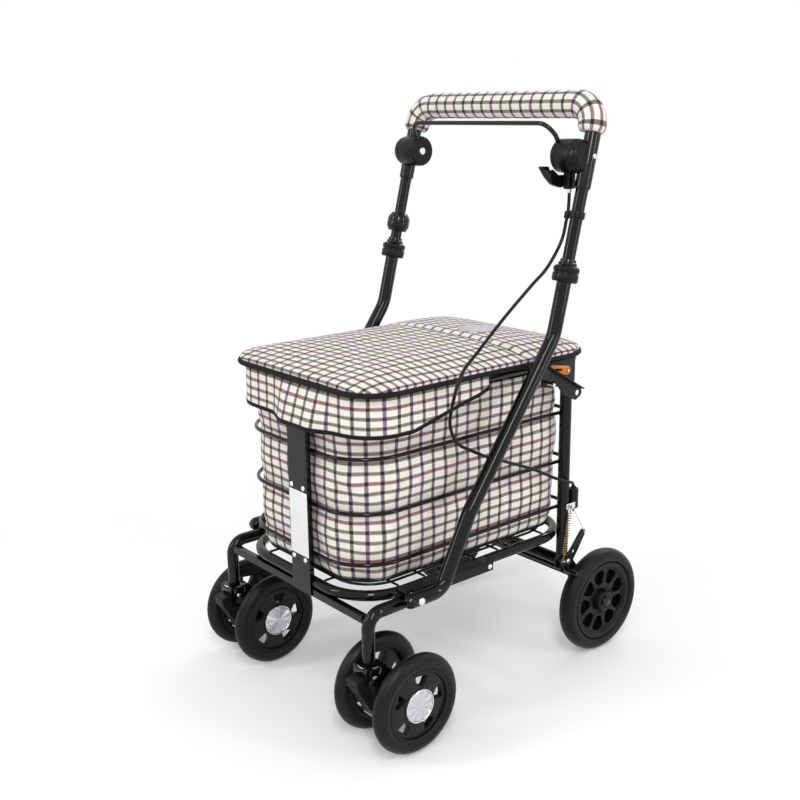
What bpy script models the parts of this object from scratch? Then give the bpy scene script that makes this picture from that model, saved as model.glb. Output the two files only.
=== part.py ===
"""Shopping walker: a four-legged steel rollator frame with a cloth bag, a padded seat lid,
a telescopic push handle with a squeeze brake, twin front casters and two large rear wheels."""

import math

import bmesh
import bpy
from mathutils import Matrix, Vector

# Sizes in metres. The front is -Y, up is +Z and +X is the user's left-hand side.
GAP = 0.0003

# The base ring's half width, which the other widths follow
RING_HALF = 0.1555

# Push handle
HANDLE_X = RING_HALF + 0.0440
HANDLE_LEAN = math.radians(14.3)
CLAMP_Y = 0.0955
CLAMP_Z = 0.6486
SIDE_TUBE_D = 0.022
SIDE_BORE_D = 0.020
LOOP_TUBE_D = 0.019
SLEEVE_BORE_D = 0.0202
BORE_DEPTH = 0.082
LOOP_BOTTOM = 0.070
HANDLE_TOP_Z = 0.8905
HANDLE_CORNER_R = 0.035
LOOP_TOP = (HANDLE_TOP_Z - CLAMP_Z) / math.cos(HANDLE_LEAN)
PAD_D = 0.042
PAD_INSET = 0.004
PAD_END = LOOP_TOP - 0.0411
KNEE = (0.072, 0.5574)
FOOT_BEND = (-0.098, 0.3235)
HEEL_BEND = (-0.1520, 0.2190)
FOOT_END = (-0.211, 0.2190)
PIVOT_Y = -0.1985
PIVOT_Z = 0.2190
COLLAR_D = 0.039
COLLAR_H = 0.024
BUSH_D = 0.026
BUSH_H = 0.009

# Hubs, brake bail and parking lever
HUB_Z = HANDLE_TOP_Z - 0.0735
HUB_Y = CLAMP_Y + (HUB_Z - CLAMP_Z) * math.tan(HANDLE_LEAN) - 0.012424
HUB_R = 0.025
HUB_IN = HANDLE_X - 0.0355
HUB_OUT = HANDLE_X + 0.0065
SOCKET_D = 0.024
SOCKET_LOW = LOOP_TOP - 0.1243
BAIL_R = 0.0245
BAIL_IN = HUB_IN - 0.0085
BAIL_OUT = HUB_IN - GAP
BAIL_D = 0.007
PARK_Y = HUB_Y - 0.004
PARK_Z = HUB_Z - 0.034
PARK_IN = HUB_IN - 0.0013
PARK_OUT = HUB_IN + 0.0067
FERRULE_X = HUB_IN + 0.013
FERRULE_Y = HUB_Y - 0.002
FERRULE_Z = HUB_Z - 0.047

# Basket frame
RING_Z = 0.214
RING_D = 0.016
RING_FRONT = -0.2655
RING_REAR = 0.178
LEG_X = RING_HALF + 0.0230
LEG_Y = -0.270
LEG_D = 0.019
LEG_BOTTOM = 0.1375
LEG_RUN_Z = 0.2090
LEG_REAR = -0.2095
LEG_BEND_R = 0.022
BAR_Y = -0.268
BAR_Z = 0.1995
BAR_DEPTH = 0.011
BAR_HEIGHT = 0.012
CHANNEL_X = 0.027
CHANNEL_W = 0.046
CHANNEL_FRONT = -0.276
CHANNEL_REAR = -0.268
CHANNEL_LOW = 0.195
CHANNEL_TOP = 0.461
CHANNEL_WALL = 0.0018
UPRIGHT_X = RING_HALF + 0.0075
UPRIGHT_Y = 0.145
UPRIGHT_D = 0.019
HOOP_Z = (0.4173, 0.336, 0.2595)
HOOP_D = 0.006
HOOP_HALF = UPRIGHT_X - UPRIGHT_D / 2 - GAP - HOOP_D / 2
HOOP_FRONT = CHANNEL_REAR + GAP + HOOP_D / 2
HOOP_REAR = 0.172
SEAT_Z = 0.504
SEAT_D = 0.014
SEAT_HALF = UPRIGHT_X - 0.0055
SEAT_FRONT = -0.251
SEAT_REAR = 0.182
RAIL_X = RING_HALF + 0.0199
RAIL_W = 0.0222
RAIL_LOW = 0.212
RAIL_TOP = 0.226
RAIL_FRONT = -0.2085
RAIL_REAR = -0.035
RAIL_WALL = 0.0015
GRID_WIRE_D = 0.004

# Rear sub-frame, wheels and brake, whose bar stands just off the tyres
PLATE_IN = UPRIGHT_X - 0.0055
PLATE_OUT = UPRIGHT_X - 0.0025
REAR_X = PLATE_OUT + 0.0245
REAR_R = 0.0875
REAR_Y = UPRIGHT_Y - 0.0185 + REAR_R
REAR_W = 0.030
REAR_RIM_R = REAR_R - 0.0215
AXLE_D = 0.008
SHOE_D = 0.008
SHOE_GAP = 0.0025
SHOE_ANGLE = math.radians(44.8)
SHOE_REACH = REAR_R + SHOE_GAP + SHOE_D / 2
SHOE_Y = REAR_Y - SHOE_REACH * math.cos(SHOE_ANGLE)
SHOE_Z = REAR_R + SHOE_REACH * math.sin(SHOE_ANGLE)
BRAKE_Y = SHOE_Y + 0.0107
BRAKE_Z = SHOE_Z + 0.01026
CROSS_Z = SHOE_Z + 0.01476
CROSS_D = 0.019
UPRIGHT_LOW = CROSS_Z + 0.0125
ARM_IN = PLATE_OUT + 0.0027
ARM_OUT = ARM_IN + 0.003
ARM_TOP = (BRAKE_Y + 0.038, BRAKE_Z + 0.041)
ARM_MID = (BRAKE_Y + 0.013, BRAKE_Z + 0.014)

# Casters
CASTER_R = 0.075
CASTER_W = 0.026
CASTER_TRACK = 0.044
CASTER_TRAIL = 0.047
STEM_D = 0.010
FORK_TOP = LEG_BOTTOM - 0.001
PEDAL_Y = -0.262

# Seat lid, valance and bag
LID_HALF = SEAT_HALF + 0.0187
LID_FRONT = -0.265
LID_REAR = 0.195
LID_LOW = SEAT_Z + SEAT_D / 2 + GAP
LID_CROWN = 0.540
LID_CORNER_R = 0.058
SEAM_FRONT_Y = 0.045
LID_HINGE_Y = 0.2005
LID_HINGE_Z = 0.514
HINGE_X = 0.1
VALANCE_HALF = SEAT_HALF + 0.0097
VALANCE_LOW = 0.4515
VALANCE_WALL = 0.0016
VALANCE_BULGE = 0.019
BAG_HALF = RING_HALF - 0.012
BAG_FRONT = -0.2555
BAG_REAR = 0.1645
BAG_TOP = 0.490
BAG_WALL = 0.0025

# Fold lock
LATCH_Y = 0.086
LATCH_Z = SEAT_Z - 0.0242
LATCH_IN = UPRIGHT_X + 0.0082
LATCH_OUT = UPRIGHT_X + 0.0112
LEVER_Y = 0.062
LEVER_Z = SEAT_Z - 0.001
LEVER_IN = HANDLE_X - 0.011
LEVER_OUT = HANDLE_X - 0.009
CATCH_Y = 0.1235
CATCH_Z = SEAT_Z - 0.0085
CATCH_IN = UPRIGHT_X + 0.0132
CATCH_OUT = UPRIGHT_X + 0.0215

# Brake cable and spring
CABLE_D = 0.005
WIRE_D = 0.0016
SPRING_X = UPRIGHT_X + 0.015
TAB_IN = UPRIGHT_X + 0.0105
TAB_OUT = UPRIGHT_X + 0.0122
SPRING_TOP = (0.147, 0.264)
SPRING_LOW = (SHOE_Y - 0.0158, SHOE_Z + 0.02226)
SPRING_WIRE_D = 0.0016
SPRING_R = 0.0033
SPRING_CURLS = 11
SPRING_LOOP_R = 0.0026

# The startup scene is cleared first.
for old in list(bpy.data.objects):
    bpy.data.objects.remove(old, do_unlink=True)
parts = bpy.data.collections.new("shopping_walker")
bpy.context.scene.collection.children.link(parts)

FINISHES = {
    "frame_paint": ((0.012, 0.012, 0.013, 1), 0.28, 0.0),
    "rail_paint": ((0.035, 0.035, 0.037, 1), 0.6, 0.0),
    "bright_metal": ((0.75, 0.75, 0.76, 1), 0.25, 1.0),
    "black_plastic": ((0.018, 0.018, 0.019, 1), 0.5, 0.0),
    "lever_metal": ((0.055, 0.055, 0.058, 1), 0.5, 0.0),
    "orange_plastic": ((0.80, 0.25, 0.02, 1), 0.35, 0.0),
    "tyre_rubber": ((0.035, 0.034, 0.034, 1), 0.75, 0.0),
    "wheel_plastic": ((0.030, 0.029, 0.029, 1), 0.5, 0.0),
    "pedal_plastic": ((0.050, 0.050, 0.050, 1), 0.6, 0.0),
    "check_cloth": ((0.80, 0.76, 0.69, 1), 0.9, 0.0),
    "cable_jacket": ((0.015, 0.015, 0.015, 1), 0.45, 0.0),
    "spring_brass": ((0.60, 0.47, 0.27, 1), 0.35, 1.0),
}
MATERIALS = {}
for slot, (colour, roughness, metallic) in FINISHES.items():
    paint = bpy.data.materials.new(slot)
    paint.use_nodes = True
    shader = paint.node_tree.nodes["Principled BSDF"]
    shader.inputs["Base Color"].default_value = colour
    shader.inputs["Roughness"].default_value = roughness
    shader.inputs["Metallic"].default_value = metallic
    MATERIALS[slot] = paint


# Helpers
def mesh_object(name, bm):
    """A linked object of the cleaned mesh, with its faces turned outwards."""
    bmesh.ops.remove_doubles(bm, verts=bm.verts, dist=2e-6)
    bmesh.ops.dissolve_degenerate(bm, edges=bm.edges, dist=2e-6)
    bmesh.ops.recalc_face_normals(bm, faces=bm.faces)
    mesh = bpy.data.meshes.new(name)
    bm.to_mesh(mesh)
    bm.free()
    obj = bpy.data.objects.new(name, mesh)
    parts.objects.link(obj)
    return obj


def applied(obj, used=()):
    """The object with its modifiers made permanent and its helpers removed."""
    bpy.context.view_layer.update()
    graph = bpy.context.evaluated_depsgraph_get()
    mesh = bpy.data.meshes.new_from_object(obj.evaluated_get(graph))
    bm = bmesh.new()
    bm.from_mesh(mesh)
    name = obj.name
    bpy.data.objects.remove(obj, do_unlink=True)
    for other in used:
        bpy.data.objects.remove(other, do_unlink=True)
    return mesh_object(name, bm)


def combined(target, others, operation):
    """The target after a Boolean with each of the others, with its flat faces merged."""
    for other in others:
        step = target.modifiers.new("Boolean", "BOOLEAN")
        step.operation = operation
        step.solver = "EXACT"
        step.object = other
    obj = applied(target, others)
    bm = bmesh.new()
    bm.from_mesh(obj.data)
    flat = math.radians(0.3)
    bmesh.ops.dissolve_limit(bm, angle_limit=flat, verts=bm.verts, edges=bm.edges)
    bmesh.ops.triangulate(bm, faces=bm.faces)
    bm.to_mesh(obj.data)
    bm.free()
    return obj


def joined(target, *others):
    return combined(target, others, "UNION")


def cut(target, *others):
    return combined(target, others, "DIFFERENCE")


def rounded(corners, radii, closed=False, step=15):
    """The path through the corners, with an arc of the given radius at each one."""
    corners = [Vector(corner) for corner in corners]
    path = []
    for index, corner in enumerate(corners):
        radius = radii[index]
        if radius == 0:
            path.append(corner)
            continue
        before = (corners[index - 1] - corner).normalized()
        after = (corners[(index + 1) % len(corners)] - corner).normalized()
        turn = math.pi - before.angle(after)
        reach = radius * math.tan(turn / 2)
        centre = corner + (before + after).normalized() * (radius / math.cos(turn / 2))
        start = corner + before * reach - centre
        end = corner + after * reach - centre
        steps = max(1, round(math.degrees(turn) / step))
        for count in range(steps + 1):
            angle = turn * count / steps
            share = start * math.sin(turn - angle) + end * math.sin(angle)
            path.append(centre + share / math.sin(turn))
    return path


def converted(name, curve):
    """A mesh object of the curve, which Booleans can take."""
    holder = bpy.data.objects.new(name, curve)
    parts.objects.link(holder)
    return applied(holder)


def tube(name, path, diameter, closed=False, sides=12):
    curve = bpy.data.curves.new(name, "CURVE")
    curve.dimensions = "3D"
    curve.bevel_depth = diameter / 2
    curve.bevel_resolution = (sides - 4) // 2
    curve.use_fill_caps = True
    spline = curve.splines.new("POLY")
    spline.points.add(len(path) - 1)
    for point, place in zip(spline.points, path):
        point.co = (*place, 1)
    spline.use_cyclic_u = closed
    return converted(name, curve)


def extruded(name, outline, depth, holes=()):
    """A flat piece about the plane of its outline, which is given as 2D points."""
    curve = bpy.data.curves.new(name, "CURVE")
    curve.dimensions = "2D"
    curve.fill_mode = "BOTH"
    curve.extrude = depth / 2
    for loop in (outline, *holes):
        spline = curve.splines.new("POLY")
        spline.points.add(len(loop) - 1)
        for point, place in zip(spline.points, loop):
            point.co = (place[0], place[1], 0, 1)
        spline.use_cyclic_u = True
    return converted(name, curve)


def plate(name, outline, low, high, holes=()):
    """A flat piece between two X values, with its outline given as (y, z) points."""
    obj = extruded(name, outline, high - low, holes)
    turn = ((0, 0, 1, (low + high) / 2), (1, 0, 0, 0), (0, 1, 0, 0), (0, 0, 0, 1))
    obj.data.transform(Matrix(turn))
    return obj


def outline(points, radii, step=30):
    """A closed (y, z) outline with rounded corners."""
    flat = [(y, z, 0) for y, z in points]
    if not isinstance(radii, (list, tuple)):
        radii = [radii] * len(points)
    return [(p.x, p.y) for p in rounded(flat, radii, True, step)]


def circle(y, z, radius, count=16):
    turns = [2 * math.pi * (k + 0.5) / count for k in range(count)]
    return [(y + radius * math.cos(a), z + radius * math.sin(a)) for a in turns]


def shifted(points, y, z):
    """The same (y, z) points, moved by the given amount."""
    return [(point_y + y, point_z + z) for point_y, point_z in points]


def link_outline(first, second, r1, r2, count=8):
    """The (y, z) outline round two circles and the straight sides between them."""
    a, b = Vector(first), Vector(second)
    along = math.atan2(b.y - a.y, b.x - a.x)
    lean = math.acos(max(-1, min(1, (r1 - r2) / (b - a).length)))
    points = []
    for k in range(count + 1):
        angle = along - lean + 2 * lean * k / count
        points.append((b.x + r2 * math.cos(angle), b.y + r2 * math.sin(angle)))
    for k in range(count + 1):
        angle = along + lean + (2 * math.pi - 2 * lean) * k / count
        points.append((a.x + r1 * math.cos(angle), a.y + r1 * math.sin(angle)))
    return points


def rod(name, start, end, diameter, sides=12, end_diameter=None):
    start, end = Vector(start), Vector(end)
    along = end - start
    turn = along.to_track_quat("Z", "Y").to_matrix().to_4x4()
    bm = bmesh.new()
    bmesh.ops.create_cone(
        bm,
        cap_ends=True,
        segments=sides,
        radius1=diameter / 2,
        radius2=(end_diameter or diameter) / 2,
        depth=along.length,
        matrix=Matrix.Translation((start + end) / 2) @ turn,
    )
    return mesh_object(name, bm)


def block(name, low, high):
    low, high = Vector(low), Vector(high)
    size = Matrix.Diagonal((*(high - low), 1))
    bm = bmesh.new()
    bmesh.ops.create_cube(bm, size=1, matrix=Matrix.Translation((low + high) / 2) @ size)
    return mesh_object(name, bm)


def turned(name, profile, steps, place):
    """Turns a closed (radius, height) profile about Z and moves it with the matrix."""
    bm = bmesh.new()
    corners = [bm.verts.new((radius, 0, height)) for radius, height in profile]
    for first, second in zip(corners, corners[1:] + corners[:1]):
        if first.co.x or second.co.x:
            bm.edges.new((first, second))
    mesh = bpy.data.meshes.new(name)
    bm.to_mesh(mesh)
    bm.free()
    obj = bpy.data.objects.new(name, mesh)
    parts.objects.link(obj)
    turn = obj.modifiers.new("Turn", "SCREW")
    turn.steps = steps
    turn.render_steps = steps
    turn.use_merge_vertices = True
    turn.merge_threshold = 0.00001
    obj = applied(obj)
    obj.data.transform(place)
    return obj


def facing_x(x, y, z):
    """The place of a turned piece whose axis runs along +X."""
    return Matrix.Translation((x, y, z)) @ Matrix.Rotation(math.pi / 2, 4, "Y")


def on_handle(distance, x=HANDLE_X):
    """The point at this distance up the handle tube from the clamp's middle."""
    y = CLAMP_Y + distance * math.sin(HANDLE_LEAN)
    return Vector((x, y, CLAMP_Z + distance * math.cos(HANDLE_LEAN)))


def along_handle(distance, x=HANDLE_X):
    """The place of a turned piece that sits round the handle tube."""
    lean = Matrix.Rotation(-HANDLE_LEAN, 4, "X")
    return Matrix.Translation(on_handle(distance, x)) @ lean


def mirrored(obj, name):
    """A copy of the object on the other side of the middle plane."""
    mesh = obj.data.copy()
    mesh.transform(Matrix.Scale(-1, 4, (1, 0, 0)))
    mesh.flip_normals()
    copy = bpy.data.objects.new(name, mesh)
    parts.objects.link(copy)
    return copy


def finished(obj, slot, pivot=None, sharp=35):
    """Gives the piece its material and shading, and puts its origin on its joint's axis."""
    obj.data.materials.clear()
    obj.data.materials.append(MATERIALS[slot])
    obj.data.polygons.foreach_set("use_smooth", [True] * len(obj.data.polygons))
    obj.data.set_sharp_from_angle(angle=math.radians(sharp))
    if pivot is not None:
        obj.data.transform(Matrix.Translation(-Vector(pivot)))
        obj.location = pivot
    return obj


def pair(obj, stem, slot, pivot=None, sharp=35):
    """Finishes a left-hand piece and its mirror image."""
    obj.name = stem + "_left"
    twin = mirrored(obj, stem + "_right")
    other = None if pivot is None else (-pivot[0], pivot[1], pivot[2])
    finished(twin, slot, other, sharp)
    return finished(obj, slot, pivot, sharp), twin


def flat_ring(half, front, rear, front_r, rear_r, z):
    corners = [(-half, front, z), (half, front, z), (half, rear, z), (-half, rear, z)]
    return rounded(corners, [front_r, front_r, rear_r, rear_r], True, 18)


# Base ring, hoops and seat frame
base = flat_ring(RING_HALF, RING_FRONT, RING_REAR, 0.080, 0.077, RING_Z)
finished(tube("base_ring", base, RING_D, True, 10), "frame_paint")
for title, z in zip(("upper", "middle", "lower"), HOOP_Z):
    path = flat_ring(HOOP_HALF, HOOP_FRONT, HOOP_REAR, 0.075, 0.024, z)
    finished(tube("hoop_" + title, path, HOOP_D, True, 6), "frame_paint", sharp=65)

seat_path = flat_ring(SEAT_HALF, SEAT_FRONT, SEAT_REAR, 0.060, 0.030, SEAT_Z)
seat_frame = tube("seat_frame", seat_path, SEAT_D, True, 8)
for side in (-1, 1):
    eye = link_outline((SEAT_REAR, SEAT_Z), (LID_HINGE_Y, LID_HINGE_Z), 0.004, 0.004)
    x = side * HINGE_X
    pin_ends = [(x + reach, LID_HINGE_Y, LID_HINGE_Z) for reach in (-0.009, 0.009)]
    lug = plate("lug", eye, x - 0.002, x + 0.002)
    seat_frame = joined(seat_frame, lug, rod("pin", *pin_ends, 0.004, 8))
finished(seat_frame, "frame_paint")

# Floor grid, which rests on the base ring
grid_z = RING_Z + RING_D / 2 + GAP + GRID_WIRE_D / 2
rim_sizes = RING_HALF - 0.0145, RING_FRONT + 0.016, RING_REAR - 0.026
inner_sizes = RING_HALF - 0.0185, RING_FRONT + 0.020, RING_REAR - 0.030
rim_outer = [(p.x, p.y) for p in flat_ring(*rim_sizes, 0.062, 0.062, 0)]
rim_inner = [(p.x, p.y) for p in flat_ring(*inner_sizes, 0.058, 0.058, 0)]
grid = extruded("floor_grid", rim_outer, GRID_WIRE_D - 0.0003, [rim_inner])
grid.data.transform(Matrix.Translation((0, 0, grid_z)))
wire_half = GRID_WIRE_D / 2
wires = []
for y in (-0.196, -0.146, -0.096, -0.046, 0.004, 0.054, 0.104):
    low = (-RING_HALF, y - wire_half, grid_z - wire_half)
    wires.append(block("wire", low, (RING_HALF, y + wire_half, grid_z + wire_half)))
for x in (-0.072, 0, 0.072):
    low = (x - wire_half, RING_FRONT, grid_z - wire_half + 0.0003)
    wires.append(block("wire", low, (x + wire_half, RING_REAR, grid_z + wire_half - 0.0003)))
finished(joined(grid, *wires), "frame_paint", sharp=65)

# Front legs
leg_corners = [(LEG_X, LEG_Y, LEG_BOTTOM), (LEG_X, LEG_Y, LEG_RUN_Z), (LEG_X, LEG_REAR, LEG_RUN_Z)]
leg = tube("leg", rounded(leg_corners, [0, LEG_BEND_R, 0]), LEG_D)
tongue_reach = RAIL_W / 2 - RAIL_WALL
tongue = block(
    "tongue",
    (RAIL_X - tongue_reach + 2 * GAP, LEG_REAR - 0.008, RAIL_LOW + 0.0022),
    (RAIL_X + tongue_reach - 0.0044, PIVOT_Y + 0.018, RAIL_TOP - 0.0024),
)
leg = joined(leg, tongue)
socket_ends = [(LEG_X, LEG_Y, LEG_BOTTOM + up) for up in (-0.01, 0.036)]
socket = rod("socket", *socket_ends, STEM_D + 0.0008, 16)
pair(cut(leg, socket), "front_leg", "frame_paint")

# Cross bar between the legs and the upright channel on it
bar_half = LEG_X - LEG_D / 2 - GAP
bar = block(
    "front_cross_bar",
    (-bar_half, BAR_Y - BAR_DEPTH / 2, BAR_Z - BAR_HEIGHT / 2),
    (bar_half, BAR_Y + BAR_DEPTH / 2, BAR_Z + BAR_HEIGHT / 2),
)
finished(bar, "frame_paint")
channel_low = CHANNEL_X - CHANNEL_W / 2
channel_high = CHANNEL_X + CHANNEL_W / 2
channel = block(
    "front_channel",
    (channel_low, CHANNEL_FRONT, CHANNEL_LOW),
    (channel_high, CHANNEL_REAR, CHANNEL_TOP),
)
hollow = block(
    "hollow",
    (channel_low + CHANNEL_WALL, CHANNEL_FRONT + CHANNEL_WALL, CHANNEL_LOW - 0.01),
    (channel_high - CHANNEL_WALL, CHANNEL_REAR + 0.01, CHANNEL_TOP + 0.01),
)
notch = block(
    "notch",
    (channel_low - 0.01, CHANNEL_FRONT + CHANNEL_WALL, BAR_Z - BAR_HEIGHT / 2 - 2 * GAP),
    (channel_high + 0.01, CHANNEL_REAR + 0.01, RING_Z + RING_D / 2 + 2 * GAP),
)
channel = cut(channel, hollow, notch)
heads = []
for x in (CHANNEL_X - 0.016, CHANNEL_X + 0.013):
    for z in (0.360, 0.2485):
        ends = (x, CHANNEL_FRONT + 0.001, z), (x, CHANNEL_FRONT - 0.0018, z)
        heads.append(rod("head", *ends, 0.007, 8, 0.004))
finished(joined(channel, *heads), "frame_paint")

# Rear uprights, each with its latch plate, latch pin and catch pin
upright_top = SEAT_Z - SEAT_D / 2 - GAP
upright_ends = [(UPRIGHT_X, UPRIGHT_Y, z) for z in (UPRIGHT_LOW, upright_top)]
upright = rod("upright", *upright_ends, UPRIGHT_D, 16)
latch_points = [(0.066, -0.0098), (0.066, 0.0310), (-0.007, 0.0302), (-0.009, -0.0058), (0.014, -0.0098)]
latch_outline = outline(shifted(latch_points, LATCH_Y, LATCH_Z), 0.005)
latch_plate = plate("latch", latch_outline, LATCH_IN, LATCH_OUT)
pin_start = LATCH_IN + 0.0008
latch_ends = (pin_start, LATCH_Y, LATCH_Z), (LEVER_OUT + 0.0012, LATCH_Y, LATCH_Z)
catch_ends = (pin_start, CATCH_Y, CATCH_Z), (LEVER_IN - 0.0023, CATCH_Y, CATCH_Z)
latch_pin = rod("pin", *latch_ends, 0.006, 8)
catch_pin = rod("pin", *catch_ends, 0.004, 8)
pair(joined(upright, latch_plate, latch_pin, catch_pin), "rear_upright", "frame_paint")

# Rear sub-frame: cross tube, thin tie rod and the two plates that carry the axles
cross_half = PLATE_OUT - 0.0005
cross_ends = (-cross_half, UPRIGHT_Y, CROSS_Z), (cross_half, UPRIGHT_Y, CROSS_Z)
subframe = rod("rear_subframe", *cross_ends, CROSS_D, 12)
tie_y, tie_z = BRAKE_Y + 0.018, BRAKE_Z - 0.032
tie = rod("tie", (-cross_half, tie_y, tie_z), (cross_half, tie_y, tie_z), 0.006, 8)
extras = [tie]
strip_points = [
    (UPRIGHT_Y - 0.0115, CROSS_Z - 0.0080),
    (UPRIGHT_Y - 0.0115, CROSS_Z + 0.0115),
    (UPRIGHT_Y + 0.0125, CROSS_Z + 0.0115),
    (BRAKE_Y + 0.0115, BRAKE_Z + 0.0060),
    (REAR_Y + 0.0125, REAR_R + 0.0080),
    (REAR_Y + 0.0080, REAR_R - 0.0125),
    (REAR_Y - 0.0125, REAR_R - 0.0070),
    (BRAKE_Y - 0.0040, BRAKE_Z - 0.0110),
    (BRAKE_Y - 0.0075, BRAKE_Z - 0.0050),
]
strip_radii = [0.004, 0.004, 0.004, 0.006, 0.010, 0.010, 0.010, 0.004, 0.002]
axle_hole = circle(REAR_Y, REAR_R, AXLE_D / 2 + 0.0005, 12)
for side in (-1, 1):
    low, high = sorted((side * PLATE_IN, side * PLATE_OUT))
    extras.append(plate("strip", outline(strip_points, strip_radii), low, high, [axle_hole]))
    start = (side * (PLATE_OUT - 0.001), BRAKE_Y, BRAKE_Z)
    extras.append(rod("spacer", start, (side * (ARM_IN - 0.0004), BRAKE_Y, BRAKE_Z), 0.010, 10))
    extras.append(rod("pin", start, (side * (ARM_OUT + 0.0008), BRAKE_Y, BRAKE_Z), 0.005, 8))
    cap = (side * (ARM_OUT + 0.0005), BRAKE_Y, BRAKE_Z), (side * (ARM_OUT + 0.0026), BRAKE_Y, BRAKE_Z)
    extras.append(rod("head", *cap, 0.008, 8))
finished(joined(subframe, *extras), "frame_paint")

# Lower rails: channels that open downwards, each with an ear for the pivot rivet
rail = block(
    "rail",
    (RAIL_X - RAIL_W / 2, RAIL_FRONT, RAIL_LOW),
    (RAIL_X + RAIL_W / 2, RAIL_REAR, RAIL_TOP),
)
rail_outer = RAIL_X + RAIL_W / 2
ear = rod("ear", (rail_outer - RAIL_WALL, PIVOT_Y, PIVOT_Z), (rail_outer, PIVOT_Y, PIVOT_Z), 0.020, 16)
groove = block(
    "groove",
    (RAIL_X - RAIL_W / 2 + RAIL_WALL, RAIL_FRONT - 0.01, RAIL_LOW - 0.02),
    (rail_outer - RAIL_WALL, RAIL_REAR - 0.006, RAIL_TOP - RAIL_WALL),
)
rivet_ends = [(rail_outer + out, RAIL_REAR - 0.007, 0.219) for out in (-0.001, 0.0016)]
rail_rivet = rod("head", *rivet_ends, 0.008, 8, 0.005)
hole_ends = [(rail_outer + out, PIVOT_Y, PIVOT_Z) for out in (-0.01, 0.01)]
rail_hole = rod("hole", *hole_ends, 0.0066, 12)
rail = cut(joined(cut(rail, groove), ear, rail_rivet), rail_hole)
pair(rail, "lower_rail", "rail_paint")

# Pivot rivets, which pass through the rail and the foot of the side tube
tube_outer = HANDLE_X + SIDE_TUBE_D / 2
tube_inner = HANDLE_X - SIDE_TUBE_D / 2
rail_skin = rail_outer - RAIL_WALL


def pivot_rod(name, start, end, diameter, end_diameter=None):
    """A piece of the pivot rivet between two X values."""
    ends = (start, PIVOT_Y, PIVOT_Z), (end, PIVOT_Y, PIVOT_Z)
    return rod(name, *ends, diameter, 10, end_diameter)


rivet = pivot_rod("rivet", rail_skin - 0.003, tube_outer + 0.0012, 0.006)
inner_head = pivot_rod("head", rail_skin - 0.0035, rail_skin - GAP, 0.0068)
inner_head.data.transform(Matrix.Translation((0, 0, -0.0005)))
outer_head = pivot_rod("head", tube_outer + GAP, tube_outer + 0.0026, 0.011, 0.007)
washer = pivot_rod("washer", rail_outer + GAP, tube_inner - GAP, 0.013)
pair(joined(rivet, inner_head, washer, outer_head), "pivot_rivet", "bright_metal")

# Rear axles
axle = rod("axle", (PLATE_IN - 0.003, REAR_Y, REAR_R), (REAR_X + 0.0195, REAR_Y, REAR_R), AXLE_D, 12)
nut = rod("nut", (PLATE_IN - 0.0045, REAR_Y, REAR_R), (PLATE_IN - GAP, REAR_Y, REAR_R), 0.014, 6)
cap = rod("cap", (REAR_X + 0.0183, REAR_Y, REAR_R), (REAR_X + 0.021, REAR_Y, REAR_R), 0.017, 16, 0.014)
pair(joined(axle, nut, cap), "rear_axle", "frame_paint")

# Cable stop behind the left upright, with its adjuster and the tab that holds the spring
stop_y = UPRIGHT_Y + UPRIGHT_D / 2 + GAP
stop_x = UPRIGHT_X + 0.0035
cable_stop = block("cable_stop", (stop_x - 0.007, stop_y, 0.258), (stop_x + 0.009, stop_y + 0.018, 0.291))
adjuster = rod("adjuster", (stop_x, 0.1655, 0.262), (stop_x, 0.1695, 0.251), 0.007, 8)
entry = rod("entry", (stop_x + 0.0035, 0.163, 0.288), (stop_x + 0.004, 0.1605, 0.2945), 0.008, 8)
tab = block("tab", (TAB_IN, 0.1405, 0.2605), (TAB_OUT, stop_y + 0.012, 0.2695))
spring_pin = rod("pin", (TAB_IN + 0.001, *SPRING_TOP), (SPRING_X + 0.0042, *SPRING_TOP), 0.0028, 8)
bore = rod("bore", (stop_x, 0.1645, 0.265), (stop_x, 0.1705, 0.248), 0.0028, 8)
cable_stop = joined(cable_stop, adjuster, entry, tab, spring_pin)
finished(cut(cable_stop, bore), "black_plastic")

# Side tubes, which pivot at the foot and hold the telescopic handle
side_corners = [(HANDLE_X, *bend) for bend in (FOOT_END, HEEL_BEND, FOOT_BEND, KNEE)]
side_corners.append(on_handle(0.0118))
side_path = rounded(side_corners, [0, 0.030, 0.080, 0.070, 0], step=11)
side_tube = tube("side_tube", side_path, SIDE_TUBE_D)
bore = rod("bore", on_handle(-BORE_DEPTH), on_handle(0.03), SIDE_BORE_D, 16)
toe_start = (HANDLE_X, FOOT_END[0] + 0.0008, FOOT_END[1])
toe_end = (HANDLE_X, FOOT_END[0] - 0.009, FOOT_END[1] - 0.001)
toe = rod("toe", toe_start, toe_end, SIDE_TUBE_D, 16, 0.012)
foot_ends = (HANDLE_X - 0.02, PIVOT_Y, PIVOT_Z), (HANDLE_X + 0.02, PIVOT_Y, PIVOT_Z)
foot_hole = rod("hole", *foot_ends, 0.0068, 12)
boss_outline = link_outline((LEVER_Y - 0.022, LEVER_Z + 0.009), (LEVER_Y, LEVER_Z), 0.013, 0.009)
boss = plate("boss", boss_outline, LEVER_OUT + 0.0012, LEVER_OUT + 0.0045)
pin_ends = (LEVER_IN - 0.0012, LEVER_Y, LEVER_Z), (LEVER_OUT + 0.003, LEVER_Y, LEVER_Z)
head_ends = (LEVER_IN - 0.0025, LEVER_Y, LEVER_Z), (LEVER_IN - 0.0008, LEVER_Y, LEVER_Z)
lever_pin = rod("pin", *pin_ends, 0.005, 8)
pin_head = rod("head", *head_ends, 0.009, 10)
side_tube = cut(joined(side_tube, toe, boss, lever_pin, pin_head), bore, foot_hole)
pair(side_tube, "side_tube", "frame_paint", (HANDLE_X, PIVOT_Y, PIVOT_Z))

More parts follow.
